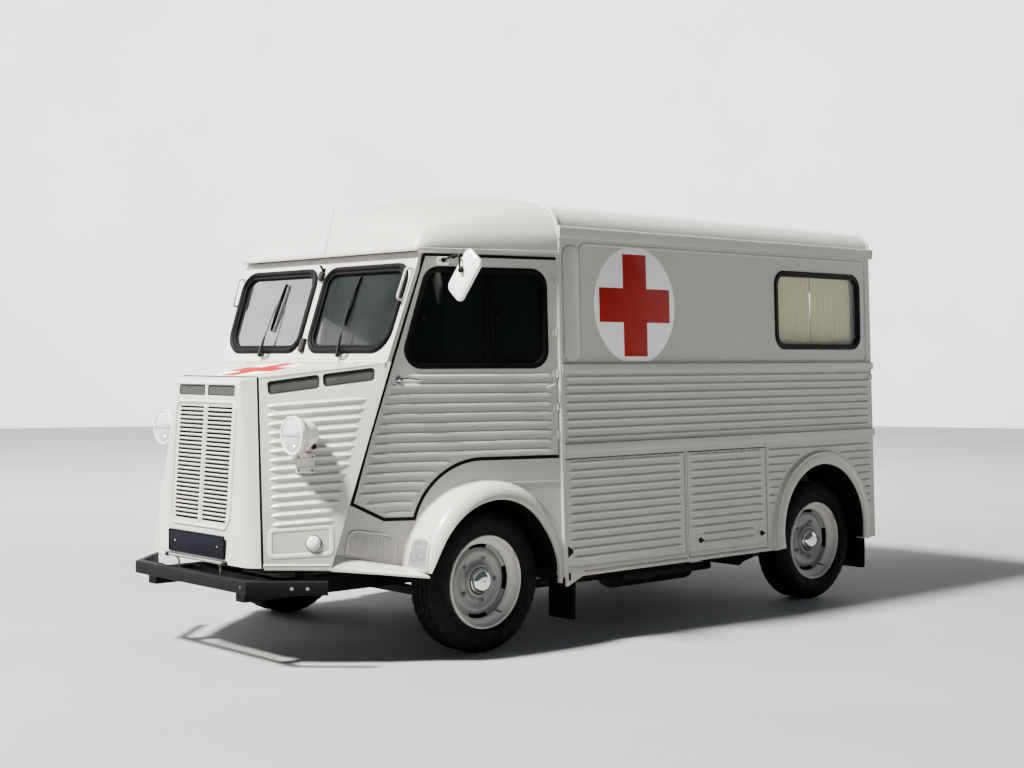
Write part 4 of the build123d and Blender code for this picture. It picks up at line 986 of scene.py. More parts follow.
def nose_levels():
    """Half sections of the nose from the middle to its left seam, from the foot up and over the brow."""
    lo_e, hi_e = Vector((441.6, -2043.4, 457.0)), Vector((276.9, -1983.4, 1316.6))
    lo_s, hi_s = Vector((487.0, -1991.0, 457.0)), Vector((332.9, -1915.8, 1326.9))
    out = []
    zs = [457.0 + (1292.4 - 457.0) * k / 14 for k in range(15)]
    for j, z in enumerate(zs):
        f = (z - 457.0) / (1316.6 - 457.0)
        t = (116.0 + (36.0 - 116.0) * (z - 457.0) / 836.0) * tan(radians(24.5))
        e = lo_e.lerp(hi_e, f)
        s = lo_s.lerp(hi_s, (z - 457.0) / (1326.9 - 457.0))
        d = (s - e)
        d.z = 0
        d.normalize()
        a, b = e - Vector((t, 0, 0)), e + d * t
        row = [a * (1 - k) ** 2 + e * (2 * k * (1 - k)) + b * k * k for k in [i / 8 for i in range(9)]]
        row.append(s)
        out.append(row)
    last = out[-1]
    # brow: the last level lifted to just under the sloping top, then rolled over
    radius = [24.0 + (5.0 - 24.0) * min(1.0, max(0.0, (i - 1) / 8)) for i in range(10)]
    normals = []
    for i in range(10):
        if i == 0:
            normals.append(Vector((0, -1, 0)))
        elif i >= 8:
            normals.append(Vector((0.7555, -0.6551, 0)).normalized())
        else:
            k = i / 8
            normals.append((Vector((0, -1, 0)) * (1 - k) + Vector((0.7555, -0.6551, 0)) * k).normalized())
    brow = []
    for k in range(0, 7):
        phi = pi / 2 * k / 6
        row = []
        for i, p in enumerate(last):
            r = radius[i]
            q = p - normals[i] * (r * (1 - cos(phi)))
            z = top_z(p.y) - r * (1 - sin(phi)) + (q.y - p.y) * 0.152655 * sin(phi)
            # keep the lean of the face while lifting
            lift = (top_z(p.y) - r) - p.z
            q = q + (Vector((0, 0.06984, 0)) * lift if i < 4 else (hi_s - lo_s) * (lift / 869.9) * (0.6 if i < 8 else 1.0) + Vector((0, 0, 0)))
            row.append(Vector((q.x, q.y, z)))
        brow.append(row)
    return out, brow


def build_nose():
    g = Geo()
    levels, brow = nose_levels()
    for rows in (levels, [levels[-1]] + brow):
        g.grid([[tuple(p) for p in r] for r in rows])
    g.both()
    # front face with its openings; the top edge carries the brow strip's own points
    edge_l = [NOSE.uv(r[0]) for r in levels]
    grille = rounded([(-254, -650), (-240, -665), (240, -665), (254, -650), (254, -112), (240, -99), (-240, -99), (-254, -112)], 3, 2)
    vents = [rounded([(s * 131 - 116, -51), (s * 131 + 116, -51), (s * 131 + 116, -6), (s * 131 - 116, -6)], 9, 4) for s in (-1, 1)]
    outline = [(-u, v) for u, v in edge_l] + [(u, v) for u, v in edge_l[::-1]]
    fill(g, NOSE, [outline, grille] + vents, 0.0)
    for row in ([levels[-1][0]] + [b[0] for b in brow],):
        g.grid([[tuple(p) for p in row], [(-p.x, p.y, p.z) for p in row]])
    last = brow[-1]
    rear = [(334.5, -1911.5), (-334.5, -1911.5)]
    ring = [(-p.x, p.y) for p in last[::-1]] + [(p.x, p.y) for p in last]
    ring = [p for p in ring] + rear
    hs = [p.z for p in last[::-1]] + [p.z for p in last] + [top_z(-1911.5)] * 2
    pts, tris, src = triangles([ring])
    g.put([(q.x, q.y, hs[s[0]] if s else top_z(q.y)) for q, s in zip(pts, src)], [tuple(t) for t in tris])
    g.make("nose_shell", "vehicle_body", ["body_paint"], "body_paint", ["nose_panel"], angle=40, shell=3.0,
           out=lambda p: (p.x * 0.0012, -1.0, 0.3))

    # pressed surround of the grille, a raised frame
    g = Geo()
    outer = rounded([(-267, -622), (-236, -675), (236, -675), (267, -622), (267, -112), (243, -86), (-243, -86), (-267, -112)], [14, 20, 20, 14, 20, 22, 22, 20], 5)
    edging(g, NOSE, outer, [(-6, -0.6), (-6, 2.5), (-2, 5.5), (3, 6.0), (7, 3.5), (10, 0.6), (10, -0.6)])
    g.make("grille_surround", "vehicle_body", ["body_paint"], "body_paint", angle=50)

    # punched louvre panel: two columns of level slots either side of the middle bar
    g = Geo()
    n, v0, v1 = 27, -644.0, -112.0
    pitch = (v1 - v0) / (n - 1)
    holes = []
    for k in range(n):
        v = v0 + pitch * k
        half = 231.0 + (4.0 if v > -600 else 4.0 - (-600 - v) * 0.18)
        for s in (-1, 1):
            a, b = (16.0, half) if s > 0 else (-half, -16.0)
            holes.append(rounded([(a, v - 5.2), (b, v - 5.2), (b, v + 5.2), (a, v + 5.2)], 4.8, 3))
    outline = rounded([(-262, -650), (-244, -670), (244, -670), (262, -650), (262, -108), (244, -92), (-244, -92), (-262, -108)], 4, 2)
    # each slat is pressed forward under its slot: a bulged strip along the web between slots
    plate(g, NOSE, outline, -5.0, -2.0, 0.0, holes)
    for k in range(n - 1):
        v = v0 + pitch * (k + 0.5)
        for s in (-1, 1):
            a, b = (20.0, 229.0) if s > 0 else (-229.0, -20.0)
            rib(g, NOSE, (a, v), (b, v), 9.6, 5.0, 12.0, 0.5, -2.4, 6, 3)
    rib(g, NOSE, (0, -660), (0, -98), 24.0, 6.0, 14.0, 0.6, -2.2)
    g.make("grille_slats", "vehicle_body", ["body_paint"], "body_paint", ["grille"], angle=40)

    # what shows behind the openings: radiator fins in front of near-black plates, which are painted shade
    g = Geo()
    plate(g.use(0), NOSE, rect(0, -382, 500, 560), -60.0, -34.0, 1.0)
    for k in range(49):
        u = -240.0 + 10.0 * k
        tube(g.use(1), [NOSE.p(u, -655, -33.0), NOSE.p(u, -110, -33.0)], 1.4, 4)
    plate(g.use(0), NOSE, rect(0, -28, 500, 56), -40.0, -28.0, 1.0)
    g.make("radiator_fins_on_painted_shade", "vehicle_body", ["black_and_painted_shade", "mesh_dark"], "engine_metal")

    g = Geo()
    for s in (-1, 1):
        hole = rect(s * 131, -28.5, 236, 49, 10, 4)
        mesh_wires(g.use(0), NOSE, hole, -4.0, 6.0, 1.15)
        edging(g.use(1), NOSE, rect(s * 131, -28.5, 232, 45, 9, 4), [(-2.5, -4), (-2.5, 0.8), (0, 1.6), (2.5, 0.8), (2.5, -0.6)])
    g.make("nose_vent_mesh", "vehicle_body", ["mesh_dark", "seal_rubber"], "engine_metal")


build_nose()

# ------------------------------------------------------------------ flat side panels of the nose
FACET_PTS = [(487.9, -1991.4, 452.0), (691.3, -1757.3, 450.0), (729.1, -1439.0, 1395.0), (333.6, -1916.1, 1323.0)]
VENT_A = FACET.on((365, -1884, 1306), (518, -1699, 1339), (525, -1708, 1281), (378, -1886, 1250))
VENT_B = FACET.on((529, -1685, 1341), (682, -1500, 1372), (687, -1510, 1317), (541, -1688, 1287))


def build_facets():
    g = Geo()
    quad = FACET.on(*FACET_PTS)
    quad[0] = (quad[0][0] + 5.0, quad[0][1])
    quad[3] = (quad[3][0] + 5.0, quad[3][1])
    vents = [rounded(v, 14, 5) for v in (VENT_A, VENT_B)]
    fill(g, FACET, [quad] + vents, 0.0)
    # rolled upper edge, then the strip that meets the hood
    n = 12
    rows = []
    a0, b0 = FACET.p(*quad[3]), FACET.p(*quad[2])
    for k in range(n + 1):
        t = k / n
        p = a0.lerp(b0, t)
        hood = Vector(lerp((340.5, -1911.0, 0), (697.0, -1481.0, 0), t))
        hood.z = top_z(hood.y)
        # the corner line right above p
        edge = p + Vector((-0.1771, 0.15357, 1.0)) * ((top_z(p.y) - p.z) / 0.98)
        edge.z = top_z(edge.y)
        row = [p * (1 - s) ** 2 + edge * (2 * s * (1 - s)) + (edge.lerp(hood, min(0.45, 5.0 / max(1.0, (hood - edge).length)))) * s * s
               for s in [i / 5 for i in range(6)]]
        rows.append([tuple(q) for q in row] + [tuple(hood), (hood.x, hood.y, hood.z - 16.0 + 10.0 * t * t)])
    g.grid(rows)
    # lower edge turned under
    lo = [FACET.p(*quad[0]), FACET.p(*quad[1])]
    g.grid([[tuple(p) for p in lo], [tuple(p + Vector((-1.5, 1.5, -5))) for p in lo], [tuple(p + Vector((-14, 12, -6))) for p in lo]])
    g.both().make("nose_side_panels", "vehicle_body", ["body_paint"], "body_paint", ["front_side_panels"], angle=40, shell=3.0,
                  out=lambda p: (1.0 if p.x > 0 else -1.0, -0.9, 0.5))

    g = Geo()
    a0, a1 = FACET.on((381, -1900, 1190), (480, -1944, 647))
    b0, b1 = FACET.on((684, -1541, 1225), (670, -1718, 671))
    for k in range(14):
        t = k / 13
        rib(g, FACET, lerp(a0, a1, t), lerp(b0, b1, t), 29.0, 10.0, 44.0, 0.30, n=8, steps=7)
    # raised border round the indicator
    c = FACET.on((482, -1946, 624), (664, -1734, 644), (676, -1738, 520), (501, -1960, 506))
    edging(g, FACET, rounded(c, 20, 5), half_round(24.0, 4.2))
    rib(g, FACET, *FACET.on((489, -1990, 470), (689, -1760, 470)), 14.0, 3.5, 6.0, 0.8)
    g.both().make("nose_side_ribs", "vehicle_body", ["body_paint"], "body_paint", angle=50)

    g = Geo()
    for v in (VENT_A, VENT_B):
        loop = rounded(v, 14, 5)
        mesh_wires(g.use(0), FACET, grown(loop, 2), -7.0, 6.0, 1.15)
        # near-black sheet behind the mesh: painted shade of the space behind the vent; the frame round the opening is
        # in the same near-black
        fill(g.use(1), FACET, [grown(loop, 12)], -24.0)
        edging(g.use(1), FACET, loop, [(-3.5, -9), (-3.5, 1.0), (-1.0, 2.4), (2.0, 1.6), (3.0, -0.6), (0.5, -9)])
    g.both().make("side_vent_mesh", "vehicle_body", ["mesh_dark", "black_and_painted_shade"], "engine_metal", angle=50)

    # round indicator lamps
    g = Geo()
    c, n = Vector((621, -1803, 568)), FACET.n
    c = c - n * FACET.w(c)
    lathe(g.use(0), c, n, [(0, -1), (39, -1), (39, 6), (37.5, 9), (34.5, 10), (33.5, 8.5), (33.5, 4), (0, 4)], 40)
    lathe(g.use(1), c, n, [(33.6, 5), (33, 9), (31, 14), (26, 19), (18, 23), (9, 25), (0, 25.6)], 40)
    for k in range(7):                                      # flutes of the lens
        r = 6.0 + 4.2 * k
        h = 25.2 - (r / 33.0) ** 2.6 * 15.0
        ring = [c + n * h + (axes(n)[0] * cos(2 * pi * i / 40) + axes(n)[1] * sin(2 * pi * i / 40)) * r for i in range(40)]
        sweep(g.use(1), ring, [(0.5, -0.6), (0.5, 0.2), (0, 0.6), (-0.5, 0.2), (-0.5, -0.6)], up=n, closed=True)
    for a in (0, 1):
        u = axes(n)[0]
        dome(g.use(0), c + u * (29 * (1 if a else -1)) + n * 15.0, n, 3.2, 2.0)
    g.both().make("front_indicators", "vehicle_body", ["steel", "indicator_lens"], "lamp_paint", angle=40)


build_facets()

# ------------------------------------------------------------------ hood
g = Geo()
HOOD = [(-336, TOP.uv((336, -1907, 1328))[1]), (336, TOP.uv((336, -1907, 1328))[1]), (689, TOP.uv((692, -1478, 1394))[1]), (-689, TOP.uv((692, -1478, 1394))[1])]
plate(g, TOP, rounded(HOOD, 6, 3), -8.0, 0.0, 2.5)
g.make("hood_skin", "hood", ["body_paint"], "body_paint", ["hood"], angle=40)
g = Geo()
for u in (-470, 0, 470):                                    # hinge leaves along the rear edge
    plate(g, TOP, rect(u, HOOD[2][1] - 14, 90, 22, 4, 3), -0.5, 2.4, 0.6)
    tube(g, [TOP.p(u - 40, HOOD[2][1] + 1.5, 2.5), TOP.p(u + 40, HOOD[2][1] + 1.5, 2.5)], 4.0, 10)
g.make("hood_hinges", "hood", ["body_paint"], "body_paint", angle=40)
hood_sign_v = TOP.uv((0, -1690, top_z(-1690)))[1]
cross_sign("sign_hood", TOP, 0.0, hood_sign_v, 208.0, 190.0, 62.0, "hood", base=0.3)

# ------------------------------------------------------------------ windscreen
SCREEN_OUT = SCREEN.on((-720.3, -1456.0, 1399.3), (720.3, -1456.0, 1399.3), (747.0, -1303.1, 1848.5), (744.2, -1277.4, 1923.8),
                       (-744.2, -1277.4, 1923.8), (-747.0, -1303.1, 1848.5))
PANE = [(62, 16), (664, 16), (682, 402), (62, 402)]
PANE_L = rounded(PANE, [62, 92, 66, 62], 8)
PANE_R = [(-u, v) for u, v in PANE_L[::-1]]


def build_screen():
    g = Geo()
    plate(g, SCREEN, SCREEN_OUT, -30.0, 0.0, 2.0, [PANE_L, PANE_R])
    strip = TOP.on((-716.6, -1470.0, 1394.9), (716.6, -1470.0, 1394.9), (721.7, -1451.5, 1397.8), (-721.7, -1451.5, 1397.8))
    plate(g, TOP, strip, -18.0, 0.0, 1.5)
    # rolled joint between the cowl and the windscreen panel
    y0 = -1456.0
    rows = []
    for x in (-718.0, 718.0):
        rows.append([(x, y0 - 14, 1396.5), (x, y0 - 6, 1398.4), (x, y0 - 1.5, 1401.5), (x, y0 + 2.0, 1408.0), (x, y0 + 6, 1405), (x, y0 + 2, 1396)])
    g.grid(rows, ring=True, cap=True)
    g.make("windscreen_panel", "vehicle_body", ["body_paint"], "body_paint", ["windscreen_frame"], angle=40)

    g = Geo()
    for loop in (PANE_L, PANE_R):
        plate(g, SCREEN, grown(loop, 6), -16.0, -10.0, 0.0)
    g.make("windscreen_panes", "vehicle_body", ["cab_glass"], "clear_glass", ["windscreen_glass"])

    sec = [(-8, -22), (-8, 0), (-6, 4), (-1, 6), (3, 4), (6, 3.5), (9, 9), (15, 14.5), (22, 16), (29, 13.5), (34, 7), (36, 1), (35, -0.6), (1, -0.6), (0.5, -22)]
    g = Geo()
    for loop in (PANE_L, PANE_R):
        edging(g, SCREEN, loop, sec)
    g.make("windscreen_seals", "vehicle_body", ["seal_black"], "flap_rubber", angle=50)

    # clips that join the seals at the middle bar
    g = Geo()
    for v in (28.0, 392.0):
        plate(g, SCREEN, rounded([(-22, v - 34), (0, v - 46), (22, v - 34), (17, v + 30), (-17, v + 30)] if v < 100 else [(-17, v - 26), (17, v - 26), (20, v + 18), (0, v + 26), (-20, v + 18)], 8, 4), 0.0, 17.0, 4.0)
        dome(g, SCREEN.p(0, v, 17.0), SCREEN.n, 5.0, 3.0)
    g.make("windscreen_clips", "vehicle_body", ["seal_rubber"], "flap_rubber", angle=40)

    # drip rail over the windscreen and both cab doors
    path = bent([(-951, -571, 1937), (-749, -1300, 1933), (749, -1300, 1933), (951, -571, 1937)], 26.0, 6)
    g = Geo()
    sweep(g, path, [(0, -8), (7, -9), (13, -7), (15, -1), (15, 5), (12.5, 6), (11.5, 0), (8, -4), (2, -4.5), (1, 7), (-4, 8), (-4, -8)], up=(0, 0, 1))
    g.make("drip_rail", "vehicle_body", ["body_paint"], "body_paint", angle=50)

    # aerial on the middle bar
    g = Geo()
    base = SCREEN.p(0, 424, 0)
    lathe(g.use(0), base, SCREEN.n, [(0, -1), (13, -1), (13, 3), (10, 9), (7, 13), (0, 13)], 20)
    tube(g.use(0), [base + SCREEN.n * 8, Vector((0, -1324, 1884))], 6.0, 10)
    tube(g.use(1), [(0, -1324, 1878), (0, -1296, 1960), (0, -1267, 2060), (0, -1238, 2170)], [2.2, 1.9, 1.6, 1.3], 8)
    dome(g.use(1), (0, -1238, 2169), (0, 0.25, 0.97), 2.6, 3.0, 12)
    g.make("aerial", "vehicle_body", ["seal_rubber", "steel"], "control_plastic", angle=40)

    # wipers: pivot, arm and blade, parked upright
    g = Geo()
    for x, tip in ((-341, (-316, 232)), (341, (322, 252))):
        u0, v0 = x, SCREEN.uv((x, -1447, 1424))[1]
        p = SCREEN.p(u0, v0, 0)
        lathe(g.use(1), p, SCREEN.n, [(0, -2), (15, -2), (15, 4), (11, 8), (8, 20), (0, 20)], 24)
        lathe(g.use(0), SCREEN.p(u0, v0, 16), SCREEN.n, [(0, 0), (9.5, 0), (9.5, 12), (7, 15), (0, 15)], 20)
        mid = (u0 + (tip[0] - x) * 0.35, v0 + (tip[1] - v0) * 0.35)
        rows = []
        for t, w, h0, h1 in ((0.0, 9.0, 20.0, 30.0), (0.2, 8.0, 22.0, 31.0), (0.36, 5.5, 24.0, 31.0)):
            c = (u0 + (tip[0] - x) * t, v0 + (tip[1] - v0) * t)
            rows.append([SCREEN.p(c[0] - w, c[1], h0), SCREEN.p(c[0] - w * 0.7, c[1], h1), SCREEN.p(c[0] + w * 0.7, c[1], h1), SCREEN.p(c[0] + w, c[1], h0)])
        g.use(0).grid(rows, ring=True, cap=True)
        tube(g.use(0), [SCREEN.p(*mid, 27), SCREEN.p(tip[0], tip[1], 20), SCREEN.p(tip[0], tip[1], 12)], 2.6, 8)
        # bracket that lies on the cowl
        tube(g.use(1), bent([SCREEN.p(u0 + 4, v0, 8), SCREEN.p(u0 + 30, v0 - 12, 10), SCREEN.p(u0 + 62, v0 + 10, 4)], 10), 4.5, 8)
        # blade holder with its claws, and the rubber
        du = Vector((0.10, 0.995))
        c = Vector(tip)
        a, b = c - du * 118, c + du * 118
        tube(g.use(0), [SCREEN.p(a.x, a.y, 7), SCREEN.p((a.x + c.x) / 2, (a.y + c.y) / 2, 10), SCREEN.p(c.x, c.y, 13), SCREEN.p((b.x + c.x) / 2, (b.y + c.y) / 2, 10), SCREEN.p(b.x, b.y, 7)], 2.8, 6)
        side = Vector((-du.y, du.x))
        row = []
        for q in (a - du * 12, b + du * 12):
            row.append([SCREEN.p(*(q - side * 3.2), 3), SCREEN.p(*(q - side * 3.0), 7), SCREEN.p(*(q + side * 3.0), 7), SCREEN.p(*(q + side * 3.2), 3), SCREEN.p(*q, -8)])
        g.use(0).grid(row, ring=True, cap=True)
    g.make("wipers", "vehicle_body", ["seal_rubber", "steel"], "control_plastic", angle=40)

    # grab handles on the windscreen posts
    g = Geo()
    path = bent([SCREEN.p(716, 246, 0), SCREEN.p(712, 240, 34), SCREEN.p(724, 395, 36), SCREEN.p(730, 402, 0)], 18, 6)
    tube(g, path, 6.0, 12)
    for v, u in ((246, 716), (402, 730)):
        lathe(g, SCREEN.p(u, v, 0), SCREEN.n, [(0, -1), (12, -1), (12, 2.4), (9, 4), (0, 4)], 20)
    g.both().make("grab_handles", "vehicle_body", ["body_paint"], "body_paint", angle=50)


build_screen()

# ------------------------------------------------------------------ headlights
def build_headlights():
    g = Geo()
    c, ax = Vector((578, -1892, 1064)), (0, -1, 0)
    bowl = [(0, -140), (14, -139), (32, -132), (48, -118), (61, -98), (71, -74), (79, -48), (84, -24), (86.5, -6), (84, 0), (81, -3), (78, -20),
            (66, -60), (48, -88), (26, -104), (0, -108)]
    lathe(g.use(0), c, ax, bowl, 64)
    lathe(g.use(0), c, ax, [(84.0, -24), (87.0, -22), (89.5, -15), (90.5, -6), (90.0, 1), (87.5, 5.4), (83.5, 6.4), (79.5, 4.5), (78.5, 0), (79, -6)], 64)
    # reflector inside the bowl
    lathe(g.use(2), c, ax, [(79, -6), (74, -20), (62, -36), (44, -50), (24, -58), (8, -61), (0, -61)], 64)
    lathe(g.use(3), c, ax, [(0, -60), (13, -58), (15, -30), (11, -14), (0, -12)], 24)
    # bulb shield strap across the lamp; it and the bulb above are near-black, painted shade inside the lamp
    tube(g.use(3), [(502, -1894, 1062), (540, -1904, 1062), (578, -1908.6, 1062), (616, -1904, 1062), (654, -1894, 1062)], 2.6, 8)
    # small clamp screw on top and the black knob at the back
    g.use(1).put([], [])
    bolt(g, (578, -1900, 1152.5), (0, 0, 1), 5.0, 5.0, False)
    dome(g.use(4), (626, -1806, 1012), (0.74, -0.3, -0.5), 14, 12, 20, -14)
    # U bracket and its plate on the side panel
    foot = Vector((541, -1792, 930))
    foot = foot - FACET.n * FACET.w(foot)
    u, v = FACET.uv(foot)
    plate(g.use(0), FACET, rect(u, v, 88, 92, 8, 4), 4.0, 8.0, 1.2)
    for du in (-32, 32):
        for dv in (-34, 30):
            lathe(g.use(0), FACET.p(u + du, v + dv, -0.5), FACET.n, [(0, 0), (9, 0), (7, 5), (0, 5)], 16)
            bolt(g.use(5), FACET.p(u + du, v + dv, 8.0), FACET.n, 4.5, 3.5)
    rows = []
    for p in (FACET.p(u + 6, v + 38, 5), FACET.p(u + 8, v + 46, 26), Vector((572, -1836, 986)), Vector((578, -1856, 988))):
        rows.append([(p.x - 19, p.y + 12, p.z - 4), (p.x + 19, p.y - 12, p.z - 4), (p.x + 19, p.y - 12, p.z + 3), (p.x - 19, p.y + 12, p.z + 3)])
    g.use(0).grid(rows, ring=True, cap=True)
    tube(g.use(5), [(579, -1850, 978), (578, -1850, 1000)], 8.0, 12)
    g.both().make("headlight_bowls", "vehicle_body", ["lamp_paint", "chrome", "mirror_silver", "black_and_painted_shade", "seal_rubber", "steel"], "lamp_paint", ["headlights"], angle=40)
    g = Geo()
    lathe(g, c, ax, [(80.5, 0), (78, 3), (66, 9), (48, 14), (26, 17.4), (0, 18.4), (0, 14.4), (26, 13.4), (48, 10), (66, 5), (78, -1), (80.5, -3)], 64)
    for k in range(-6, 7):                                   # vertical flutes inside the lens
        x = k * 11.0
        h = sqrt(max(0.0, 74.0 ** 2 - x * x))
        if h > 10:
            pts = []
            for j in range(9):
                z = -h + 2 * h * j / 8
                r = sqrt(x * x + z * z)
                pts.append((c.x + x, c.y - (13.6 - 13.2 * (r / 78) ** 2), c.z + z))
            tube(g, pts, 1.5, 5)
    g.both().make("headlight_lenses", "vehicle_body", ["lens_clear"], "clear_glass", angle=50)


build_headlights()

# ------------------------------------------------------------------ bumper, plate
def build_bumper():
    path = [(-748, -1812, 377), (-497, -2076, 377), (497, -2076, 377), (748, -1812, 377)]
    g = Geo()
    # channel open to the rear, with rounded upper and lower flanges; the outline runs right to left, so 'right' faces forward
    sec = [(-15, 32), (8, 32), (13, 30.5), (15.5, 26), (16, 0), (15.5, -26), (13, -30.5), (8, -32), (-15, -32), (-15, -28.5), (7, -28.5),
           (11, -26), (12, 0), (11, 26), (7, 28.5), (-15, 28.5)]
    # corners mitred so that the bends stay crisp
    sweep(g.use(0), path, [(s, h) for s, h in sec], up=(0, 0, 1))
    for x, y in ((-690, -1884), (-640, -1936), (-452, -2092), (-416, -2092), (416, -2092), (452, -2092), (640, -1936), (690, -1884)):
        if abs(x) > 500:
            n = Vector((0.725 * (1 if x > 0 else -1), -0.689, 0))
            base = Vector((x, y, 377))
            a, b = Vector((497 * (1 if x > 0 else -1), -2076, 377)), Vector((748 * (1 if x > 0 else -1), -1812, 377))
            d = (b - a).normalized()
            base = a + d * (base - a).dot(d) + n * 15.4
        else:
            n, base = Vector((0, -1, 0)), Vector((x, -2091.6, 377))
        lathe(g.use(1), base, n, [(0, -0.6), (8, -0.6), (8, 0.2), (5.5, 0.5), (0, 0.5)], 16)
    g.make("bumper_channel", "vehicle_body", ["bumper_paint", "steel"], "bumper_paint", ["front_bumper"], angle=40)
    g = Geo()
    for s in (-1, 1):                                        # irons from the frame to the bumper
        sweep(g, [(s * 400, -2062, 362), (s * 400, -1960, 362), (s * 400, -1900, 345)], [(-22, -6), (22, -6), (22, 6), (-22, 6)])
        for y in (-2052, -2036):
            bolt(g, (s * 400, y, 368), (0, 0, 1), 6, 5)
    g.make("bumper_irons", "vehicle_body", ["chassis_paint"], "chassis_paint", angle=40)

    PL = Plane((0, -2046, 0), (1, 0, 0), (0, -1, 0))
    g = Geo()
    plate(g.use(0), PL, rect(0, 533, 504, 110, 9, 5), 0.0, 4.5, 1.0)
    edging(g.use(0), PL, rect(0, 533, 496, 102, 7, 5), [(-3, 4), (-3, 6.2), (0, 7.4), (3, 6.2), (3, 4)])
    for x in (-190, 190):
        dome(g.use(1), PL.p(x, 533, 4.5), PL.n, 5.0, 3.0)
    g.make("plate_blank", "vehicle_body", ["plate_paint", "steel"], "plate_paint", ["number_plate"], angle=40)
    g = Geo()
    tube(g.use(0), [(-262, -2052, 462), (262, -2052, 462)], 7.5, 14)
    for s in (-1, 1):
        lathe(g.use(1), (s * 262, -2052, 462), (s, 0, 0), [(0, -16), (11, -16), (12, -8), (12, 4), (9, 9), (0, 9)], 20)
        tube(g.use(0), bent([(s * 190, -2040, 490), (s * 190, -2052, 478), (s * 190, -2052, 462)], 6), 4.0, 8)
        tube(g.use(0), bent([(s * 190, -2052, 462), (s * 190, -2030, 440), (s * 190, -2030, 360)], 8), 5.0, 8)
    g.make("plate_bar", "vehicle_body", ["steel", "seal_rubber"], "bumper_paint", angle=40)


build_bumper()

# dark joint strips between nose and side panels, and along the hood's front edge
g = Geo()
a, b = Vector((333.0, -1916.0, 1326.0)), Vector((485.0, -1993.0, 458.0))
side_path = [tuple(a.lerp(b, k / 12)) for k in range(13)]
sweep(g, side_path, [(-5.0, -6.0), (-5.0, 0.6), (-3.0, 1.8), (3.0, 1.8), (5.0, 0.6), (5.0, -6.0)], up=tuple(FACET.n))
g.both()
front = [(x, -1915.5, top_z(-1915.5)) for x in (-330.0, 0.0, 330.0)]
sweep(g, front, [(-3.0, -6.0), (-3.0, 3.4), (-1.8, 4.6), (1.8, 4.6), (3.0, 3.4), (3.0, -6.0)], up=tuple(TOP.n))
g.make("nose_joint_strips", "vehicle_body", ["seal_black"], "flap_rubber", angle=50)
# ------------------------------------------------------------------ cab roof
ROOF_ROWS = ((-1290, 733, 1926, 690, 1948, 1962), (-1215, 756, 1926, 665, 2050, 2100), (-1080, 797, 1927, 680, 2104, 2182),
             (-850, 866, 1930, 740, 2158, 2244), (-565, 950, 1935, 828, 2182, 2276))


def roof_row(y):
    """Sizes of the cab roof section at y, on a smooth curve through the known rows."""
    ys = [r[0] for r in ROOF_ROWS]
    k = max(i for i in range(4) if ys[i] <= y) if y > ys[0] else 0
    p = ROOF_ROWS
    y0, y1 = ys[k], ys[k + 1]
    t = (y - y0) / (y1 - y0)
    out = []
    for c in range(1, 6):
        def slope(i):
            if i == 0:
                return (p[1][c] - p[0][c]) / (ys[1] - ys[0]) * (1.25 if c > 3 else 1.0)
            if i == 4:
                return (p[4][c] - p[3][c]) / (ys[4] - ys[3]) * 0.8
            a, b = (p[i][c] - p[i - 1][c]) / (ys[i] - ys[i - 1]), (p[i + 1][c] - p[i][c]) / (ys[i + 1] - ys[i])
            return 0.0 if a * b <= 0 else 2 * a * b / (a + b)
        h = y1 - y0
        m0, m1 = slope(k) * h, slope(k + 1) * h
        out.append((2 * t ** 3 - 3 * t * t + 1) * p[k][c] + (t ** 3 - 2 * t * t + t) * m0 + (3 * t * t - 2 * t ** 3) * p[k + 1][c] + (t ** 3 - t * t) * m1)
    return out


def cab_section(y, inset=0.0, n=10):
    half, low, sx, sz, crown = roof_row(y)
    h, s, z1, c = half - inset, sx - 0.5 * inset, sz - 0.8 * inset, crown - inset
    side = arc3((h, low), (h - 0.24 * (h - s), low + 0.66 * (z1 - low)), (s, z1), n)
    top = arc3((s, z1), (0, c), (-s, z1), 3 * n)[1:-1]
    ring = side + top + [(-x, z) for x, z in side[::-1]]
    # ease the corner between side and crown
    for _ in range(3 if inset == 0 else 2):
        new = list(ring)
        for i in range(max(2, n - 6), min(len(ring) - 2, n + 9)):
            for j in (i, len(ring) - 1 - i):
                new[j] = (ring[j][0] * 0.5 + (ring[j - 1][0] + ring[j + 1][0]) * 0.25, ring[j][1] * 0.5 + (ring[j - 1][1] + ring[j + 1][1]) * 0.25)
        ring = new
    return [(x, y, z) for x, z in ring]


def build_cab_roof():
    ys = [-1290, -1282, -1272, -1258, -1242, -1225, -1205, -1180, -1150, -1115, -1075, -1030, -980, -920, -860, -790, -720, -650, -595, -565]
    g = Geo()
    outer = [[(x, -1291.0, min(z, 1927.0)) for x, _, z in cab_section(-1290)]] + [cab_section(y) for y in ys]
    inner = [cab_section(max(y, -1262) + (6 if y < -1262 else 0), 24.0) for y in ys]
    g.grid(outer)
    g.grid(inner[::-1])
    g.grid([outer[0], inner[0]])
    g.grid([outer[-1], inner[-1]])
    for end in (0, -1):
        g.grid([[r[end] for r in outer[1:]], [r[end] for r in inner]])
        g.put([outer[0][end], outer[1][end], inner[0][end]], [(0, 1, 2)])
    g.make("cab_roof_shell", "vehicle_body", ["body_paint"], "body_paint", ["cab_roof"], angle=38)
    # a lining below the crown
    g = Geo()
    rows = [cab_section(max(y, -1240), 34.0) for y in ys[4:]]
    g.grid(rows)
    g.make("cab_lining", "vehicle_body", ["cab_trim"], "body_paint", angle=60, shell=2.0)


build_cab_roof()

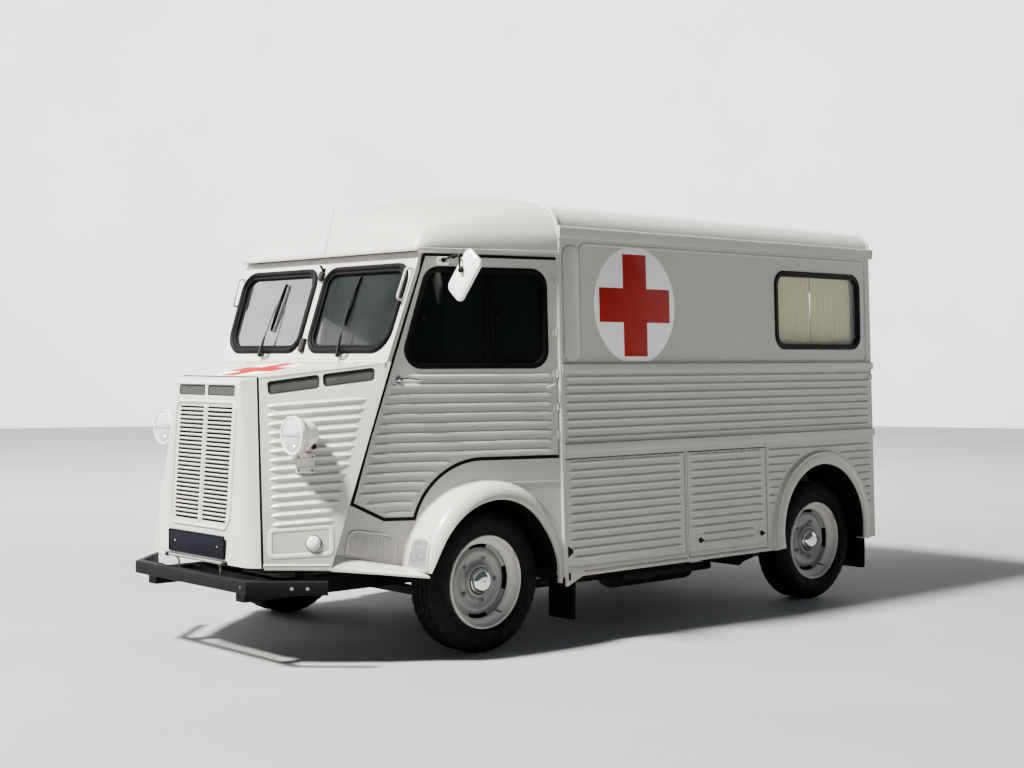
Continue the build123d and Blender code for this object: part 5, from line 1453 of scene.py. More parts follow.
# ------------------------------------------------------------------ cab doors
DOOR_PTS = DOOR.on((748.8, -1258.9, 1908.0), (938.3, -574.1, 1907.0), (969.6, -583.9, 929.0), (864.8, -962.9, 929.0), (772.1, -1332.0, 658.0),
                   (730.5, -1482.1, 661.0), (684.7, -1637.9, 741.0), (699.9, -1543.8, 1049.7))
DOOR_LOOP = DOOR_PTS[:3] + arc3(*DOOR_PTS[2:5], 18)[0:0] + arc3(DOOR_PTS[3 - 1], DOOR_PTS[3], DOOR_PTS[4], 18)[1:] + DOOR_PTS[5:]
GLASS_PTS = DOOR.on((762, -1236, 1836), (914, -640, 1836), (932, -640, 1384), (733, -1372, 1384))


def build_doors():
    # outline: the lower rear edge is level to the arch's start, then follows the arch
    corners = DOOR.on((748.8, -1258.9, 1908.0), (938.3, -574.1, 1907.0), (969.6, -583.9, 929.0))
    arc_a, arc_b, arc_c = DOOR.on((969.6, -583.9, 929.0), (864.8, -962.9, 929.0), (772.1, -1332.0, 658.0))
    tail = DOOR.on((730.5, -1482.1, 661.0), (684.7, -1637.9, 741.0), (699.9, -1543.8, 1049.7))
    mid = DOOR.on((805, -1188, 864))[0]
    arch = arc3(arc_b, mid, arc_c, 18)
    loop = corners + arch + tail
    if area2(loop) < 0:
        loop = loop[::-1]
    glass = rounded(GLASS_PTS, 70, 8)
    inner = grown(loop, -26.0)
    for side, tag in ((1, "left"), (-1, "right")):
        body = "cab_door_" + tag
        put = (lambda g: g) if side > 0 else (lambda g: g.flipped())
        g = Geo()
        for k in range(15):
            v = DOOR.uv((800, -1100, 1331.0 - 45.8 * k))[1]
            for a, b in clip_row(inner, v):
                if k == 0:
                    a += 84.0
                if b - a > 50:
                    rib(g, DOOR, (a, v), (b, v), 24.0, 9.5, 36.0)
        put(g).make("door_ribs_" + tag, body, ["body_paint"], "body_paint")

        # rubber strip round the door's edge, seen in the gap
        g = Geo()
        run = [corners[0], tail[2], tail[1], tail[0]] + arch[::-1] + [corners[2]]
        edging(g, DOOR, run, [(-11.0, -4.0), (-11.0, 1.2), (-7.0, 2.4), (3.5, 2.0), (6.0, -1.0), (6.0, -14.0), (-1.0, -14.0), (-1.0, -4.0)], closed=False)
        top_edge = [lerp(corners[0], corners[1], t) for t in (0.0, 0.5, 1.0)]
        edging(g, DOOR, top_edge if top_edge[0][0] < top_edge[-1][0] else top_edge[::-1],
               [(-7.0, -4.0), (-7.0, 1.2), (1.0, 2.2), (7.0, 1.4), (7.0, -6.0)], closed=False)
        put(g).make("door_edge_seal_" + tag, body, ["seal_black"], "flap_rubber", angle=50)

        # window: rubber channel, the middle frame of the two sliding panes, their knobs
        g = Geo()
        edging(g.use(0), DOOR, glass, [(-10, -22), (-10, -4), (-8, 0.5), (-3, 2.5), (4, 5.5), (11, 6.5), (17, 4.0), (19, 0.5), (19, -0.6), (1, -0.6), (0.5, -22)])
        ub = DOOR.uv((847, -929, 1697))[0]
        for du, w in ((-10, -9.0), (16, -13.0)):
            plate(g.use(0), DOOR, rect(ub + du, (GLASS_PTS[0][1] + GLASS_PTS[3][1]) / 2, 17.0, 452.0), w, w + 5.0, 1.2)
        for p in ((758, -1264, 1607), (864, -882, 1606)):
            u, v = DOOR.uv(p)
            lathe(g.use(0), DOOR.p(u, v, -13.0), DOOR.n, [(0, 0), (10, 0), (10, 4), (6, 6), (6, 12), (12, 14), (12, 20), (9, 22), (0, 22)], 20)
        put(g).make("door_window_frame_" + tag, body, ["seal_black"], "flap_rubber", angle=50)

        # fixed and sliding pane, one a little behind the other
        g = Geo()
        lo = [p for p in glass]
        def half(keep_low):
            pts, n = [], len(lo)
            for i in range(n):
                a, b = lo[i], lo[(i + 1) % n]
                ina, inb = (a[0] < ub + 12) == keep_low, (b[0] < ub + 12) == keep_low
                if ina:
                    pts.append(a)
                if ina != inb:
                    t = (ub + 12 - a[0]) / (b[0] - a[0])
                    pts.append((ub + 12, a[1] + (b[1] - a[1]) * t))
            return pts
        plate(g, DOOR, half(True), -14.5, -10.5, 0.0)
        plate(g, DOOR, half(False), -20.0, -16.0, 0.0)
        put(g).make("door_panes_" + tag, body, ["door_glass"], "clear_glass", ["cab_door_glass_" + tag])

        # handle: oval boss, chrome lever, key barrel
        g = Geo()
        u, v = DOOR.uv((731, -1398, 1309))
        boss = [(u + 15 * cos(t) , v + 27 * sin(t)) for t in [2 * pi * k / 32 for k in range(32)]]
        plate(g.use(0), DOOR, boss, -0.5, 5.0, 2.5)
        lathe(g.use(0), DOOR.p(u, v + 6, 4), DOOR.n, [(0, 0), (9, 0), (8, 10), (8, 22), (10, 26), (10, 32), (7, 35), (0, 35)], 24)
        tube(g.use(0), bent([DOOR.p(u, v + 6, 28), DOOR.p(u + 34, v + 9, 31), DOOR.p(u + 84, v + 4, 29), DOOR.p(u + 104, v + 2, 20)], 12),
             7.0, 12)
        lathe(g.use(1), DOOR.p(u, v - 14, 4), DOOR.n, [(0, 0), (6, 0), (6, 3), (4.5, 4), (0, 4)], 20)
        for dv in (-22, 22):
            dome(g.use(1), DOOR.p(u, v + dv * 0.98, 4.0), DOOR.n, 2.6, 1.8, 12)
        put(g).make("door_handle_" + tag, body, ["chrome", "steel"], "lamp_paint", angle=40)

        # hinges down the rear edge and the small retaining lever
        g = Geo()
        for p in ((952, -578, 1790), (960, -580, 1545), (964, -580, 1338), (967, -581, 1180), (969, -582, 1040)):
            u, v = DOOR.uv(p)
            lathe(g.use(0), DOOR.p(u - 1, v - 19, 3.5), DOOR.y, [(0, 0), (5.2, 0), (5.2, 38), (0, 38)], 14)
            dome(g.use(0), DOOR.p(u - 1, v + 19, 3.5), DOOR.y, 4.2, 4.0, 12)
            plate(g.use(0), DOOR, rect(u - 18, v, 26, 34, 4, 3), -0.4, 2.4, 0.8)
            for dv in (-9, 9):
                dome(g.use(0), DOOR.p(u - 20, v + dv, 2.2), DOOR.n, 3.6, 1.8, 12)
        u, v = DOOR.uv((951, -609, 1280))
        tube(g.use(0), bent([DOOR.p(u - 34, v - 8, 2), DOOR.p(u - 30, v - 7, 16), DOOR.p(u - 2, v + 4, 18), DOOR.p(u + 10, v + 6, 12)], 8), 4.6, 10)
        put(g).make("door_hinges_" + tag, body, ["body_paint"], "body_paint", angle=40)


build_doors()

# strips over the doors, up to the roof
g = Geo()
head = DOOR.on((745, -1268, 1913), (941, -572, 1912), (941, -572, 1936), (745, -1268, 1936))
plate(g, DOOR, head, -14.0, -3.0, 1.0)
g.both().make("door_headers", "vehicle_body", ["body_paint"], "body_paint", angle=40)

# ------------------------------------------------------------------ front fenders
FC, FR = (-977.0, 402.0), 424.0          # circle of the fender's crest, y and z
OC, OR = (-992.0, 362.0), 385.0          # wheel opening


def door_x(y, z, off=0.0):
    n = DOOR.n
    return 1007.2 + (off - n.y * (y + 565.0) - n.z * z) / n.x


def opening_r(t):
    """Distance from the fender's centre to the wheel opening along angle t (from the rear, over the top)."""
    dy, dz = cos(t), sin(t)
    py, pz = FC[0] - OC[0], FC[1] - OC[1]
    b = py * dy + pz * dz
    r = -b + sqrt(max(0.0, b * b - (py * py + pz * pz) + OR * OR))
    # the rear leg runs out thin towards its foot
    late = min(1.0, max(0.0, (0.62 - t) / 0.85))
    # and the front leg narrows to a tip on the flange below it
    tip = min(1.0, max(0.0, (t - 2.72) / 0.62))
    return r + 24.0 * late * late * (3 - 2 * late) + 34.0 * tip * tip


def crest_r(t):
    """The crest moves out behind the wheel, so that the leg keeps its full width from the cab."""
    late = min(1.0, max(0.0, (0.62 - t) / 0.85))
    return FR + 44.0 * late * late * (3 - 2 * late)


def fender_profile(t, n=22):
    crest = crest_r(t)
    y, z = FC[0] + crest * cos(t), FC[1] + crest * sin(t)
    x0 = door_x(min(y, -568.0), z, 0.5) - 8.0
    curve = [(x0, crest), (x0 + 0.5 * (916 - x0), crest + 0.5)]
    curve += arc3((912, crest), (968, crest - 22), (990, crest - 78), 14)
    curve += [(990.5, FR - 92), (989.5, 300.0)]
    rmax = 409.0 / cos(t) if cos(t) > 0.5 else 1e9
    rmin = opening_r(t)
    dense = []
    for a, b in zip(curve, curve[1:]):
        dense += [lerp(a, b, k / 6) for k in range(6)]
    dense.append(curve[-1])
    keep = [p for p in dense if rmin <= p[1] <= rmax]
    if len(keep) < 2:
        keep = [dense[-2], dense[-1]]
    # exact last point on the opening
    last = keep[-1]
    keep.append((last[0], rmin))
    seg = [0.0]
    for a, b in zip(keep, keep[1:]):
        seg.append(seg[-1] + math.hypot(b[0] - a[0], b[1] - a[1]))
    out = []
    for k in range(n):
        s = seg[-1] * k / (n - 1)
        i = max(j for j in range(len(seg)) if seg[j] <= s + 1e-9)
        i = min(i, len(keep) - 2)
        f = (s - seg[i]) / max(1e-9, seg[i + 1] - seg[i])
        out.append(lerp(keep[i], keep[i + 1], f))
    return [(x, min(-568.0, FC[0] + r * cos(t)), FC[1] + r * sin(t)) for x, r in out]


def build_fenders():
    t0 = math.asin(-0.235)                  # rear foot, z 302
    t1 = pi - math.asin(23.0 / 405.0)
    ts = [t0 + (t1 - t0) * k / 72 for k in range(73)]
    g = Geo()
    rows = [fender_profile(t) for t in ts]
    g.grid(rows)
    # the edge turned in round the wheel opening
    lip = []
    for r, t in zip(rows, ts):
        p = Vector(r[-1])
        d = Vector((0, cos(t), sin(t)))
        lip.append([tuple(p), tuple(p + Vector((-2.5, 0, 0)) - d * 3.0), tuple(p + Vector((-8, 0, 0)) - d * 3.6), tuple(p + Vector((-22, 0, 0)) - d * 2.0)])
    g.grid(lip)
    g.both().make("fender_shells", "vehicle_body", ["body_paint"], "body_paint", ["front_fenders"], angle=50, shell=2.4,
                  out=lambda p: (1.0 if p.x > 0 else -1.0, (p.y - FC[0]) * 0.002, (p.z - FC[1]) * 0.002))
    # bead in the joint between fender and cab side
    g = Geo()
    path = []
    for t in [0.30 + (t1 - 0.30) * k / 48 for k in range(49)]:
        y, z = FC[0] + (crest_r(t) + 1.0) * cos(t), FC[1] + (crest_r(t) + 1.0) * sin(t)
        path.append((door_x(y, z, 0.5) + 1.0, y, z))
    tube(g, path, 4.2, 8)
    # level seam from the crest back to the box
    u0, v0 = DOOR.uv((door_x(-900, 812), -900, 812))
    u1, v1 = DOOR.uv((door_x(-572, 812), -572, 812))
    rib(g, DOOR, (u0, v0), (u1, v0), 7.0, 3.0, 4.0, 0.8, n=6, steps=2)
    g.both().make("fender_beads", "vehicle_body", ["body_paint"], "body_paint", angle=60)
    # thin dark line of shadow behind the wheel: liner of the wheelhouse
    g = Geo()
    rows = []
    for k in range(41):
        t = -0.10 + (pi + 0.16) * k / 40
        rr = opening_r(t) + 10.0 if 0 <= k <= 40 else 400
        rows.append([(x, FC[0] + min(rr, 398.0) * cos(t), FC[1] + min(rr, 398.0) * sin(t)) for x in (560.0, 700.0, 900.0, 955.0)])
    rows = [[(min(x, door_x(min(y, -575), z) + 60), y, z) for x, y, z in r] for r in rows]
    g.grid(rows)
    # inner wall of the wheelhouse
    pts = [(y, z) for _, y, z in [r[0] for r in rows]]
    mid = (560.0, FC[0], 470.0)
    n = len(pts)
    g.put([(560.0, y, z) for y, z in pts] + [(560.0, FC[0] + 390, 380), (560.0, FC[0] - 390, 380)], [tuple(range(n))])
    g.both().make("front_wheelhouses", "vehicle_body", ["underseal"], "chassis_paint", angle=50, shell=2.0)

    # silver stone-guard plate on the fender's front
    g = Geo()
    def on_fender(x, z, lift):
        # point on the crest surface at this x and height, ahead of the wheel
        drop = 0.0
        if x > 912:
            pr = arc3((912, FR), (968, FR - 22), (990, FR - 78), 14)
            for a, b in zip(pr, pr[1:]):
                if a[0] <= x <= b[0]:
                    drop = FR - (a[1] + (b[1] - a[1]) * (x - a[0]) / (b[0] - a[0]))
        r = FR - drop + lift
        y = FC[0] - sqrt(max(1.0, r * r - (z - FC[1]) ** 2))
        return (x, y, z)
    nx, nz = 14, 12
    def outline_ok(i, j):
        return True
    rows_o, rows_i = [], []
    for j in range(nz + 1):
        z = 437.0 + (575.0 - 437.0) * j / nz
        tz = j / nz
        # rounded upper corners
        h = max(0.0, (z - 545.0) / 30.0)
        cut = 26.0 * (1 - sqrt(max(0.0, 1 - h * h)))
        a, b = 806.0 + 6 * tz + cut, 944.0 - 16 * tz - cut
        rows_o.append([on_fender(a + (b - a) * i / nx, z, 2.6) for i in range(nx + 1)])
        rows_i.append([on_fender(a + (b - a) * i / nx, z, 0.2) for i in range(nx + 1)])
    g.grid(rows_o)
    g.grid(rows_i)
    ring_o = rows_o[0] + [r[-1] for r in rows_o[1:]] + rows_o[-1][-2::-1] + [r[0] for r in rows_o[-2:0:-1]]
    ring_i = rows_i[0] + [r[-1] for r in rows_i[1:]] + rows_i[-1][-2::-1] + [r[0] for r in rows_i[-2:0:-1]]
    g.grid([ring_i, ring_o], ring=True)
    g.both().make("stone_guards", "vehicle_body", ["silver"], "lamp_paint", angle=40)
    # white surround of the guard
    g = Geo()
    rim = [Vector(p) for p in ring_o]
    sweep(g, [tuple(p) for p in rim], [(-3, -3), (-3, 1.6), (0, 3.0), (3, 1.6), (3, -3)], up=(0, -1, 0.35), closed=True)
    g.both().make("stone_guard_rims", "vehicle_body", ["body_paint"], "body_paint", angle=60)


build_fenders()


def build_steps():
    """Ribbed step plate ahead of the wheel, the flange under it and the lower edge of the cab."""
    g = Geo()
    quad = DOOR.on((684.0, -1654.0, 632.0), (750.0, -1424.0, 588.0), (752.0, -1429.0, 446.0), (681.0, -1680.0, 505.0))
    loop = rounded(quad, [50, 56, 10, 10], 8)
    if area2(loop) < 0:
        loop = loop[::-1]
    edging(g, DOOR, loop, half_round(10.0, 7.5, s0=-5.0))
    plate(g, DOOR, grown(loop, -8), -0.6, 4.0, 0.5)
    inner = grown(loop, -14)
    us = [p[0] for p in inner]
    k = min(us) + 6
    swap = [(v, u) for u, v in inner]
    while k < max(us) - 4:
        for a, b in clip_row(swap, k):
            if b - a > 20:
                rib(g, DOOR, (k, a), (k, b), 7.5, 7.6, 7.0, 0.6, 3.4, 6, 3)
        k += 11.5
    g.both().make("step_plates", "vehicle_body", ["body_paint"], "body_paint", angle=50)

    g = Geo()
    p0, p1 = DOOR.p(*DOOR.uv((671, -1716, 513)), 0), DOOR.p(*DOOR.uv((762, -1396, 440)), 0)
    q0, q1 = Vector((692.0, -1757.0, 451.0)), Vector((955.0, -1390.0, 412.0))
    rows = []
    for k in range(13):
        t = k / 12
        p, q = p0.lerp(p1, t), q0.lerp(q1, t)
        q = q - DOOR.n * (14.0 * sin(pi * t))
        m = p.lerp(q, 0.5) + Vector((0, 0, 5.0 + 8.0 * t))
        rows.append([tuple(v) for v in (p - DOOR.n * 14, p + DOOR.n * 0.5, p.lerp(m, 0.5) + Vector((0, 0, 1.5)), m, m.lerp(q, 0.6) + Vector((0, 0, 2.0)),
                                        q, q + Vector((0, 0, -9.0)), q - DOOR.n * 4 + Vector((0, 0, -9.0)), m + Vector((0, 0, -12.0)), p - DOOR.n * 14 + Vector((0, 0, -20.0)))])
    g.grid(rows, ring=True, cap=True)
    # lower edge of the nose side panels
    g.both().make("cab_sill_flanges", "vehicle_body", ["body_paint"], "body_paint", angle=40)


build_steps()

# ------------------------------------------------------------------ door mirror
def build_mirror():
    c = Vector((930.8, -1150.0, 1806.0))
    MP = Plane(c, (cos(radians(24)), 0.0, -sin(radians(24))), (0, -1, 0))
    def turned(pts, a=radians(-16.0)):
        return [(u * cos(a) - v * sin(a), u * sin(a) + v * cos(a)) for u, v in pts]
    loop = turned(rect(0, 0, 128, 246, 34, 10))
    g = Geo()
    rows = []
    for s, w in ((-4.0, 0.0), (0.0, 2.0), (0.5, 7.0), (-0.8, 12.0), (-3.5, 16.0), (-8.0, 18.4), (-10.5, 17.4), (-13.0, 18.8), (-26.0, 21.0), (-46.0, 22.0)):
        rows.append([MP.p(u * (1 + s / 66.0), v * (1 + s / 118.0), w) for u, v in loop])
    g.use(0).grid(rows, ring=True)
    g.put([tuple(p) for p in rows[-1]], [tuple(range(len(rows[-1])))])
    g.put([tuple(p) for p in rows[0]], [tuple(range(len(rows[0])))[::-1]])
    plate(g.use(1), Plane(c, (-cos(radians(24)), 0.0, sin(radians(24))), (0, 1, 0)), [(-u, v) for u, v in turned(rect(0, 0, 114, 232, 30, 10))][::-1], -0.5, 1.2, 0.6)
    # ball joint and bent arm
    b0 = Vector((782, -1166, 1884))
    tube(g.use(2), bent([b0, (868, -1178, 1898), (926, -1188, 1904), (931, -1189, 1868), (929, -1186, 1836)], 20, 8), 5.0, 12)
    lathe(g.use(2), (929, -1181, 1832), (0, -1, 0), [(0, -6), (15, -6), (16, -2), (15, 3), (12, 8), (6, 11), (0, 11)], 24)
    tube(g.use(2), [(929, -1184, 1832), (929, -1172, 1830)], 6.5, 12)
    lathe(g.use(2), (862, -1167, 1896), (0.985, -0.02, 0.16), [(0, -8), (8, -8), (8, 8), (0, 8)], 16)
    u, v = DOOR.uv((777, -1162, 1880))
    plate(g.use(0), DOOR, rect(u, v, 60, 40, 9, 4), -0.4, 5.4, 1.5)
    for du in (-20, 20):
        dome(g.use(3), DOOR.p(u + du, v, 5.4), DOOR.n, 4.5, 2.5, 14)
    lathe(g.use(2), DOOR.p(u, v + 4, 4), (b0 - DOOR.p(u, v + 4, 4)).normalized() if (b0 - DOOR.p(u, v + 4, 4)).length > 1 else DOOR.n, [(0, -6), (12, -6), (12, 4), (8, 10), (0, 10)], 20)
    g.make("mirror_assembly", "cab_door_left", ["mirror_shell", "mirror_silver", "seal_rubber", "steel"], "mirror_shell", ["door_mirror"], angle=45)


build_mirror()
# ------------------------------------------------------------------ wheels
def tyre_outline():
    """Half section from the outer bead over the tread to the inner bead: distance from the mid plane, radius."""
    h = 97.0
    side = [(74, 222), (78, 226), (83, 231)] + arc3((83, 231), (h, 278), (h - 12, 320), 12)[1:] + arc3((h - 12, 320), (h - 20, 335), (h - 34, 342), 5)[1:]
    # shallow steps of the sidewall: rim band and decorative ring
    out = []
    for x, r in side:
        d = 0.0
        if 236 < r < 246:
            d = 1.2
        out.append((x + d, r))
    return out


def build_tyre(g, cx, cy, cz):
    n = 168
    side = tyre_outline()
    tread = []
    xs = [63, 57, 49, 48.5, 48, 41, 40.5, 40, 31, 21, 20.5, 20, 14, 13.5, 13, 9, 3, 0]
    xs = xs[:-1] + [0] + [-x for x in xs[-2::-1]]
    rows = []
    for x, r in side[:-1]:
        rows.append(("s", x, r))
    for x in xs:
        rows.append(("t", x, 342.0))
    for x, r in side[-2::-1]:
        rows.append(("s", -x, r))
    ys = []
    for kind, x, r in rows:
        ring = []
        for k in range(n):
            rr = r
            a = 2 * pi * k / n
            ax = abs(x)
            if kind == "t":
                # four grooves round the tyre, the ribs between them cut across in a zigzag
                if 13.4 < ax < 20.2 or 40.4 < ax < 48.2:
                    rr = 342.0 - 9.0
                elif ax > 50.0 and k % 4 == 0:
                    rr = 342.0 - 7.0
                elif ax < 12.0 and (k + (1 if x > 0 else 0)) % 6 == 0:
                    rr = 342.0 - 4.0
                elif 20.8 < ax < 39.8 and (k + int(ax) // 8) % 6 == 3:
                    rr = 342.0 - 6.0
            elif r > 322 and k % 4 == 0:
                rr = r - 4.5
            ring.append((cx + x, cy + rr * cos(a), cz + rr * sin(a)))
        ys.append(ring)
    g.grid(ys, ring=True)
    g.grid([[ys[-1][k] for k in range(n)], [ys[0][k] for k in range(n)]], ring=True)
    return g


RIM = [(214, -80), (226, -78), (226.5, 40), (226, 74), (226, 80), (224, 86), (219.5, 88), (215.5, 86), (213, 80), (210, 68), (205, 58), (198, 51.5),
       (190, 47), (184, 41), (180, 32), (177.5, 22), (168, 16), (162, 17.5), (155, 23), (147, 27), (138, 28), (128, 25.5), (118, 21), (109, 18.5), (98, 18.5),
       (90, 21.5), (85, 27), (82, 34), (79, 38), (74, 40), (68, 40), (66, 36), (66, 22)]


def build_wheel(g, cx, cy, cz):
    c = (cx, cy, cz)
    n = 96
    band = [i for i, p in enumerate(RIM) if p[0] in (180, 177.5, 168)]

    def skip(j, k):
        # four curved slots between rim and disc
        return j in band and ((k + 12) % 24) in range(7, 17)
    # rim, then the disc, in a darker silver: partly its own silver paint, partly painted shade of the recessed dish
    cut = [i for i, p in enumerate(RIM) if p[0] == 180][0]
    lathe(g.use(0), c, (1, 0, 0), RIM[:cut + 1], n, (0, 0, 1))
    lathe(g.use(1), c, (1, 0, 0), RIM[cut:], n, (0, 0, 1), lambda j, k: skip(j + cut, k))
    return g


def wheel_details(g, cx, cy, cz):
    c = Vector((cx, cy, cz))
    # hub cap
    lathe(g.use(1), c, (1, 0, 0), [(62, 36), (62.5, 41), (61, 44.5), (58.5, 46), (56.5, 52), (53.5, 60), (48, 66.5), (40, 70.5), (28, 72.5), (14, 73.2), (5, 73.4), (0, 73.4), (0, 36)], 56)
    dome(g.use(0), c + Vector((73.2, 0, 0)), (1, 0, 0), 5.0, 2.5, 14)
    for k in range(5):
        a = 2 * pi * k / 5 + 0.35
        p = c + Vector((18.5, 106 * sin(a), 106 * cos(a)))
        lathe(g.use(2), p, (1, 0, 0), [(0, -1), (15, -1), (14, 3), (10.5, 6), (0, 6)], 20)
        rows = []
        for r, h in ((9.5, 5.0), (9.5, 15.0), (8.0, 17.5), (5.5, 17.5), (5.5, 12.0)):
            rows.append([p + Vector((h, r * cos(pi / 3 * i + a), r * sin(pi / 3 * i + a))) for i in range(6)])
        g.use(2).grid(rows, ring=True, cap=True)
        tube(g.use(2), [p + Vector((10, 0, 0)), p + Vector((20, 0, 0))], 5.0, 10)
    # drum behind the slots, near-black as painted shade seen through them; valve, balance weight
    lathe(g.use(3), c, (1, 0, 0), [(0, -46), (206, -46), (206, -14), (196, -4), (150, -2), (0, -2)], 64)
    a = 2.55
    tube(g.use(3), [c + Vector((34, 182 * sin(a), 182 * cos(a))), c + Vector((54, 187 * sin(a), 187 * cos(a))), c + Vector((74, 190 * sin(a), 190 * cos(a)))], [4.0, 3.6, 3.0], 10)
    ws = [c + Vector((87, 219 * sin(t), 219 * cos(t))) for t in [0.9 + 0.02 * i for i in range(9)]]
    sweep(g.use(2), ws, [(-4, -4), (-4, 1), (0, 2.5), (4, 1), (4, -4)], up=(1, 0, 0))
    return g


for tag, cx, cy in (("front_left", 811.0, -992.0), ("front_right", 811.0, -992.0), ("rear_left", 832.0, 1560.0), ("rear_right", 832.0, 1560.0)):
    left = tag.endswith("left")
    put = (lambda g: g) if left else (lambda g: g.flipped())
    put(build_tyre(Geo(), cx, cy, 342.0)).make("tyre_tread_" + tag, "wheel_" + tag, ["tyre_rubber"], "tyre_rubber", ["tyre_" + tag], angle=28)
    put(build_wheel(Geo(), cx, cy, 342.0)).make("wheel_disc_" + tag, "wheel_" + tag, ["wheel_paint", "disc_silver_and_painted_shade"], "wheel_paint", ["rim_" + tag], angle=35, shell=3.5,
                                              out=lambda p, s=(1 if left else -1), q=cx, yy=cy: ((1.0 if sqrt((p.y - yy) ** 2 + (p.z - 342) ** 2) < 212 else 0.2) * s, (yy - p.y) * 0.002 * (1 if sqrt((p.y - yy) ** 2 + (p.z - 342) ** 2) > 212 else 0), 0))
    put(wheel_details(Geo(), cx, cy, 342.0)).make("wheel_fittings_" + tag, "wheel_" + tag, ["disc_silver_and_painted_shade", "chrome", "disc_silver_and_painted_shade", "black_and_painted_shade"], "wheel_paint", angle=40)

# ------------------------------------------------------------------ rear wheelhouses and mud flaps
g = Geo()
rows = []
for k in range(37):
    t = -0.22 + (pi + 0.44) * k / 36
    y, z = 1535 + 372.0 * cos(t), 420 + 372.0 * sin(t)
    rows.append([(x, y, z) for x in (688.0, 800.0, 958.0)])
g.grid(rows)
n = len(rows)
g.put([r[0] for r in rows], [tuple(range(n))])
g.both().make("rear_wheelhouses", "vehicle_body", ["underseal"], "chassis_paint", angle=50, shell=2.0)

g = Geo()
for y, x, low in ((-449.0, 860.0, 104.0), (2003.0, 861.0, 144.0)):
    h = (380.0 - low) / 2
    FP = Plane((x, y - 6.5, low + h), (1, 0, 0), (0, -1, 0))
    plate(g.use(0), FP, rect(0, 0, 190, 2 * h, 16, 4), -6.5, 0.0, 1.0)
    for k in range(7):
        rib(g.use(0), FP, (-78 + 26 * k, 22 - h), (-78 + 26 * k, h - 58), 9.0, 2.6, 10.0, 0.5, -0.4, 5, 2)
    plate(g.use(1), FP, rect(0, h - 20, 176, 26, 4, 3), -0.4, 3.0, 0.8)
    for u in (-66, 0, 66):
        bolt(g.use(1), FP.p(u, h - 20, 3.0), FP.n, 6, 4)
g.both().make("mud_flap_sheets", "vehicle_body", ["flap_rubber", "steel"], "flap_rubber", ["mud_flaps"], angle=40)

# ------------------------------------------------------------------ curtains of the box windows
def curtain(name, y0, y1, seed, side):
    rng = random.Random(seed)
    folds = 15
    nu, nv = folds * 10, 26
    z0, z1 = 1456.0, 1912.0
    width = y1 - y0
    phase = [rng.uniform(-0.25, 0.25) for _ in range(folds + 2)]
    amp = [rng.uniform(8.0, 12.5) for _ in range(folds + 2)]
    wide = [rng.uniform(0.82, 1.2) for _ in range(folds)]
    total = sum(wide)
    edges = [0.0]
    for w in wide:
        edges.append(edges[-1] + w / total)
    rows = []
    for j in range(nv + 1):
        t = j / nv
        row = []
        for i in range(nu + 1):
            s = i / nu
            k = min(folds - 1, max(q for q in range(folds) if edges[q] <= s + 1e-9))
            f = (s - edges[k]) / (edges[k + 1] - edges[k])
            a = amp[k] * (1 - f) + amp[k + 1] * f
            soft = 0.75 + 0.25 * (1 - t) + 0.06 * sin(3.1 * t + k)
            w = a * soft * sin(2 * pi * f + phase[k] * (1 - f) + phase[k + 1] * f * 0)
            drift = 5.0 * sin(2.1 * (1 - t) + k * 0.9) * (1 - t)
            z = z0 + (z1 - z0) * t - 3.5 * (1 - t) * (0.5 + 0.5 * sin(k * 1.7))
            row.append(FLANK.p(y0 + width * s + drift, z, -62.0 + w))
        rows.append(row)
    g = Geo()
    g.grid(rows)
    if side < 0:
        g = g.flipped()
    length = sum((Vector(rows[nv][i + 1]) - Vector(rows[nv][i])).length for i in range(nu))
    low = sum((Vector(rows[0][i + 1]) - Vector(rows[0][i])).length for i in range(nu))
    o = g.make(name, "vehicle_body", ["curtain_cloth"], "curtain_cloth", angle=80)
    return o, (length + low) / 2


for side, tag in ((1, "left"), (-1, "right")):
    for part, y0, y1, seed in (("front", 1150.0, 1542.0, 11), ("rear", 1548.0, 1940.0, 23)):
        o, flat = curtain(f"curtain_{tag}_{part}", y0, y1, seed, side)
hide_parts("curtains")
g = Geo()
tube(g.use(0), [FLANK.p(1136.0, 1914.0, -62.0), FLANK.p(1954.0, 1914.0, -62.0)], 4.5, 12)
for y in (1140.0, 1545.0, 1950.0):
    tube(g.use(0), bent([FLANK.p(y, 1914.0, -62.0), FLANK.p(y, 1922.0, -50.0), FLANK.p(y, 1922.0, -35.0)], 8), 3.5, 8)
for i in range(24):
    y = 1156.0 + 34.0 * i
    ring = [FLANK.p(y, 1914.0 + 7.5 * cos(2 * pi * k / 16), -62.0 + 7.5 * sin(2 * pi * k / 16)) for k in range(16)]
    sweep(g.use(0), ring, [(-0.9, -0.9), (0.9, -0.9), (0.9, 0.9), (-0.9, 0.9)], up=(0, 1, 0), closed=True)
g.both().make("curtain_rods", "vehicle_body", ["steel"], "lamp_paint", angle=50)
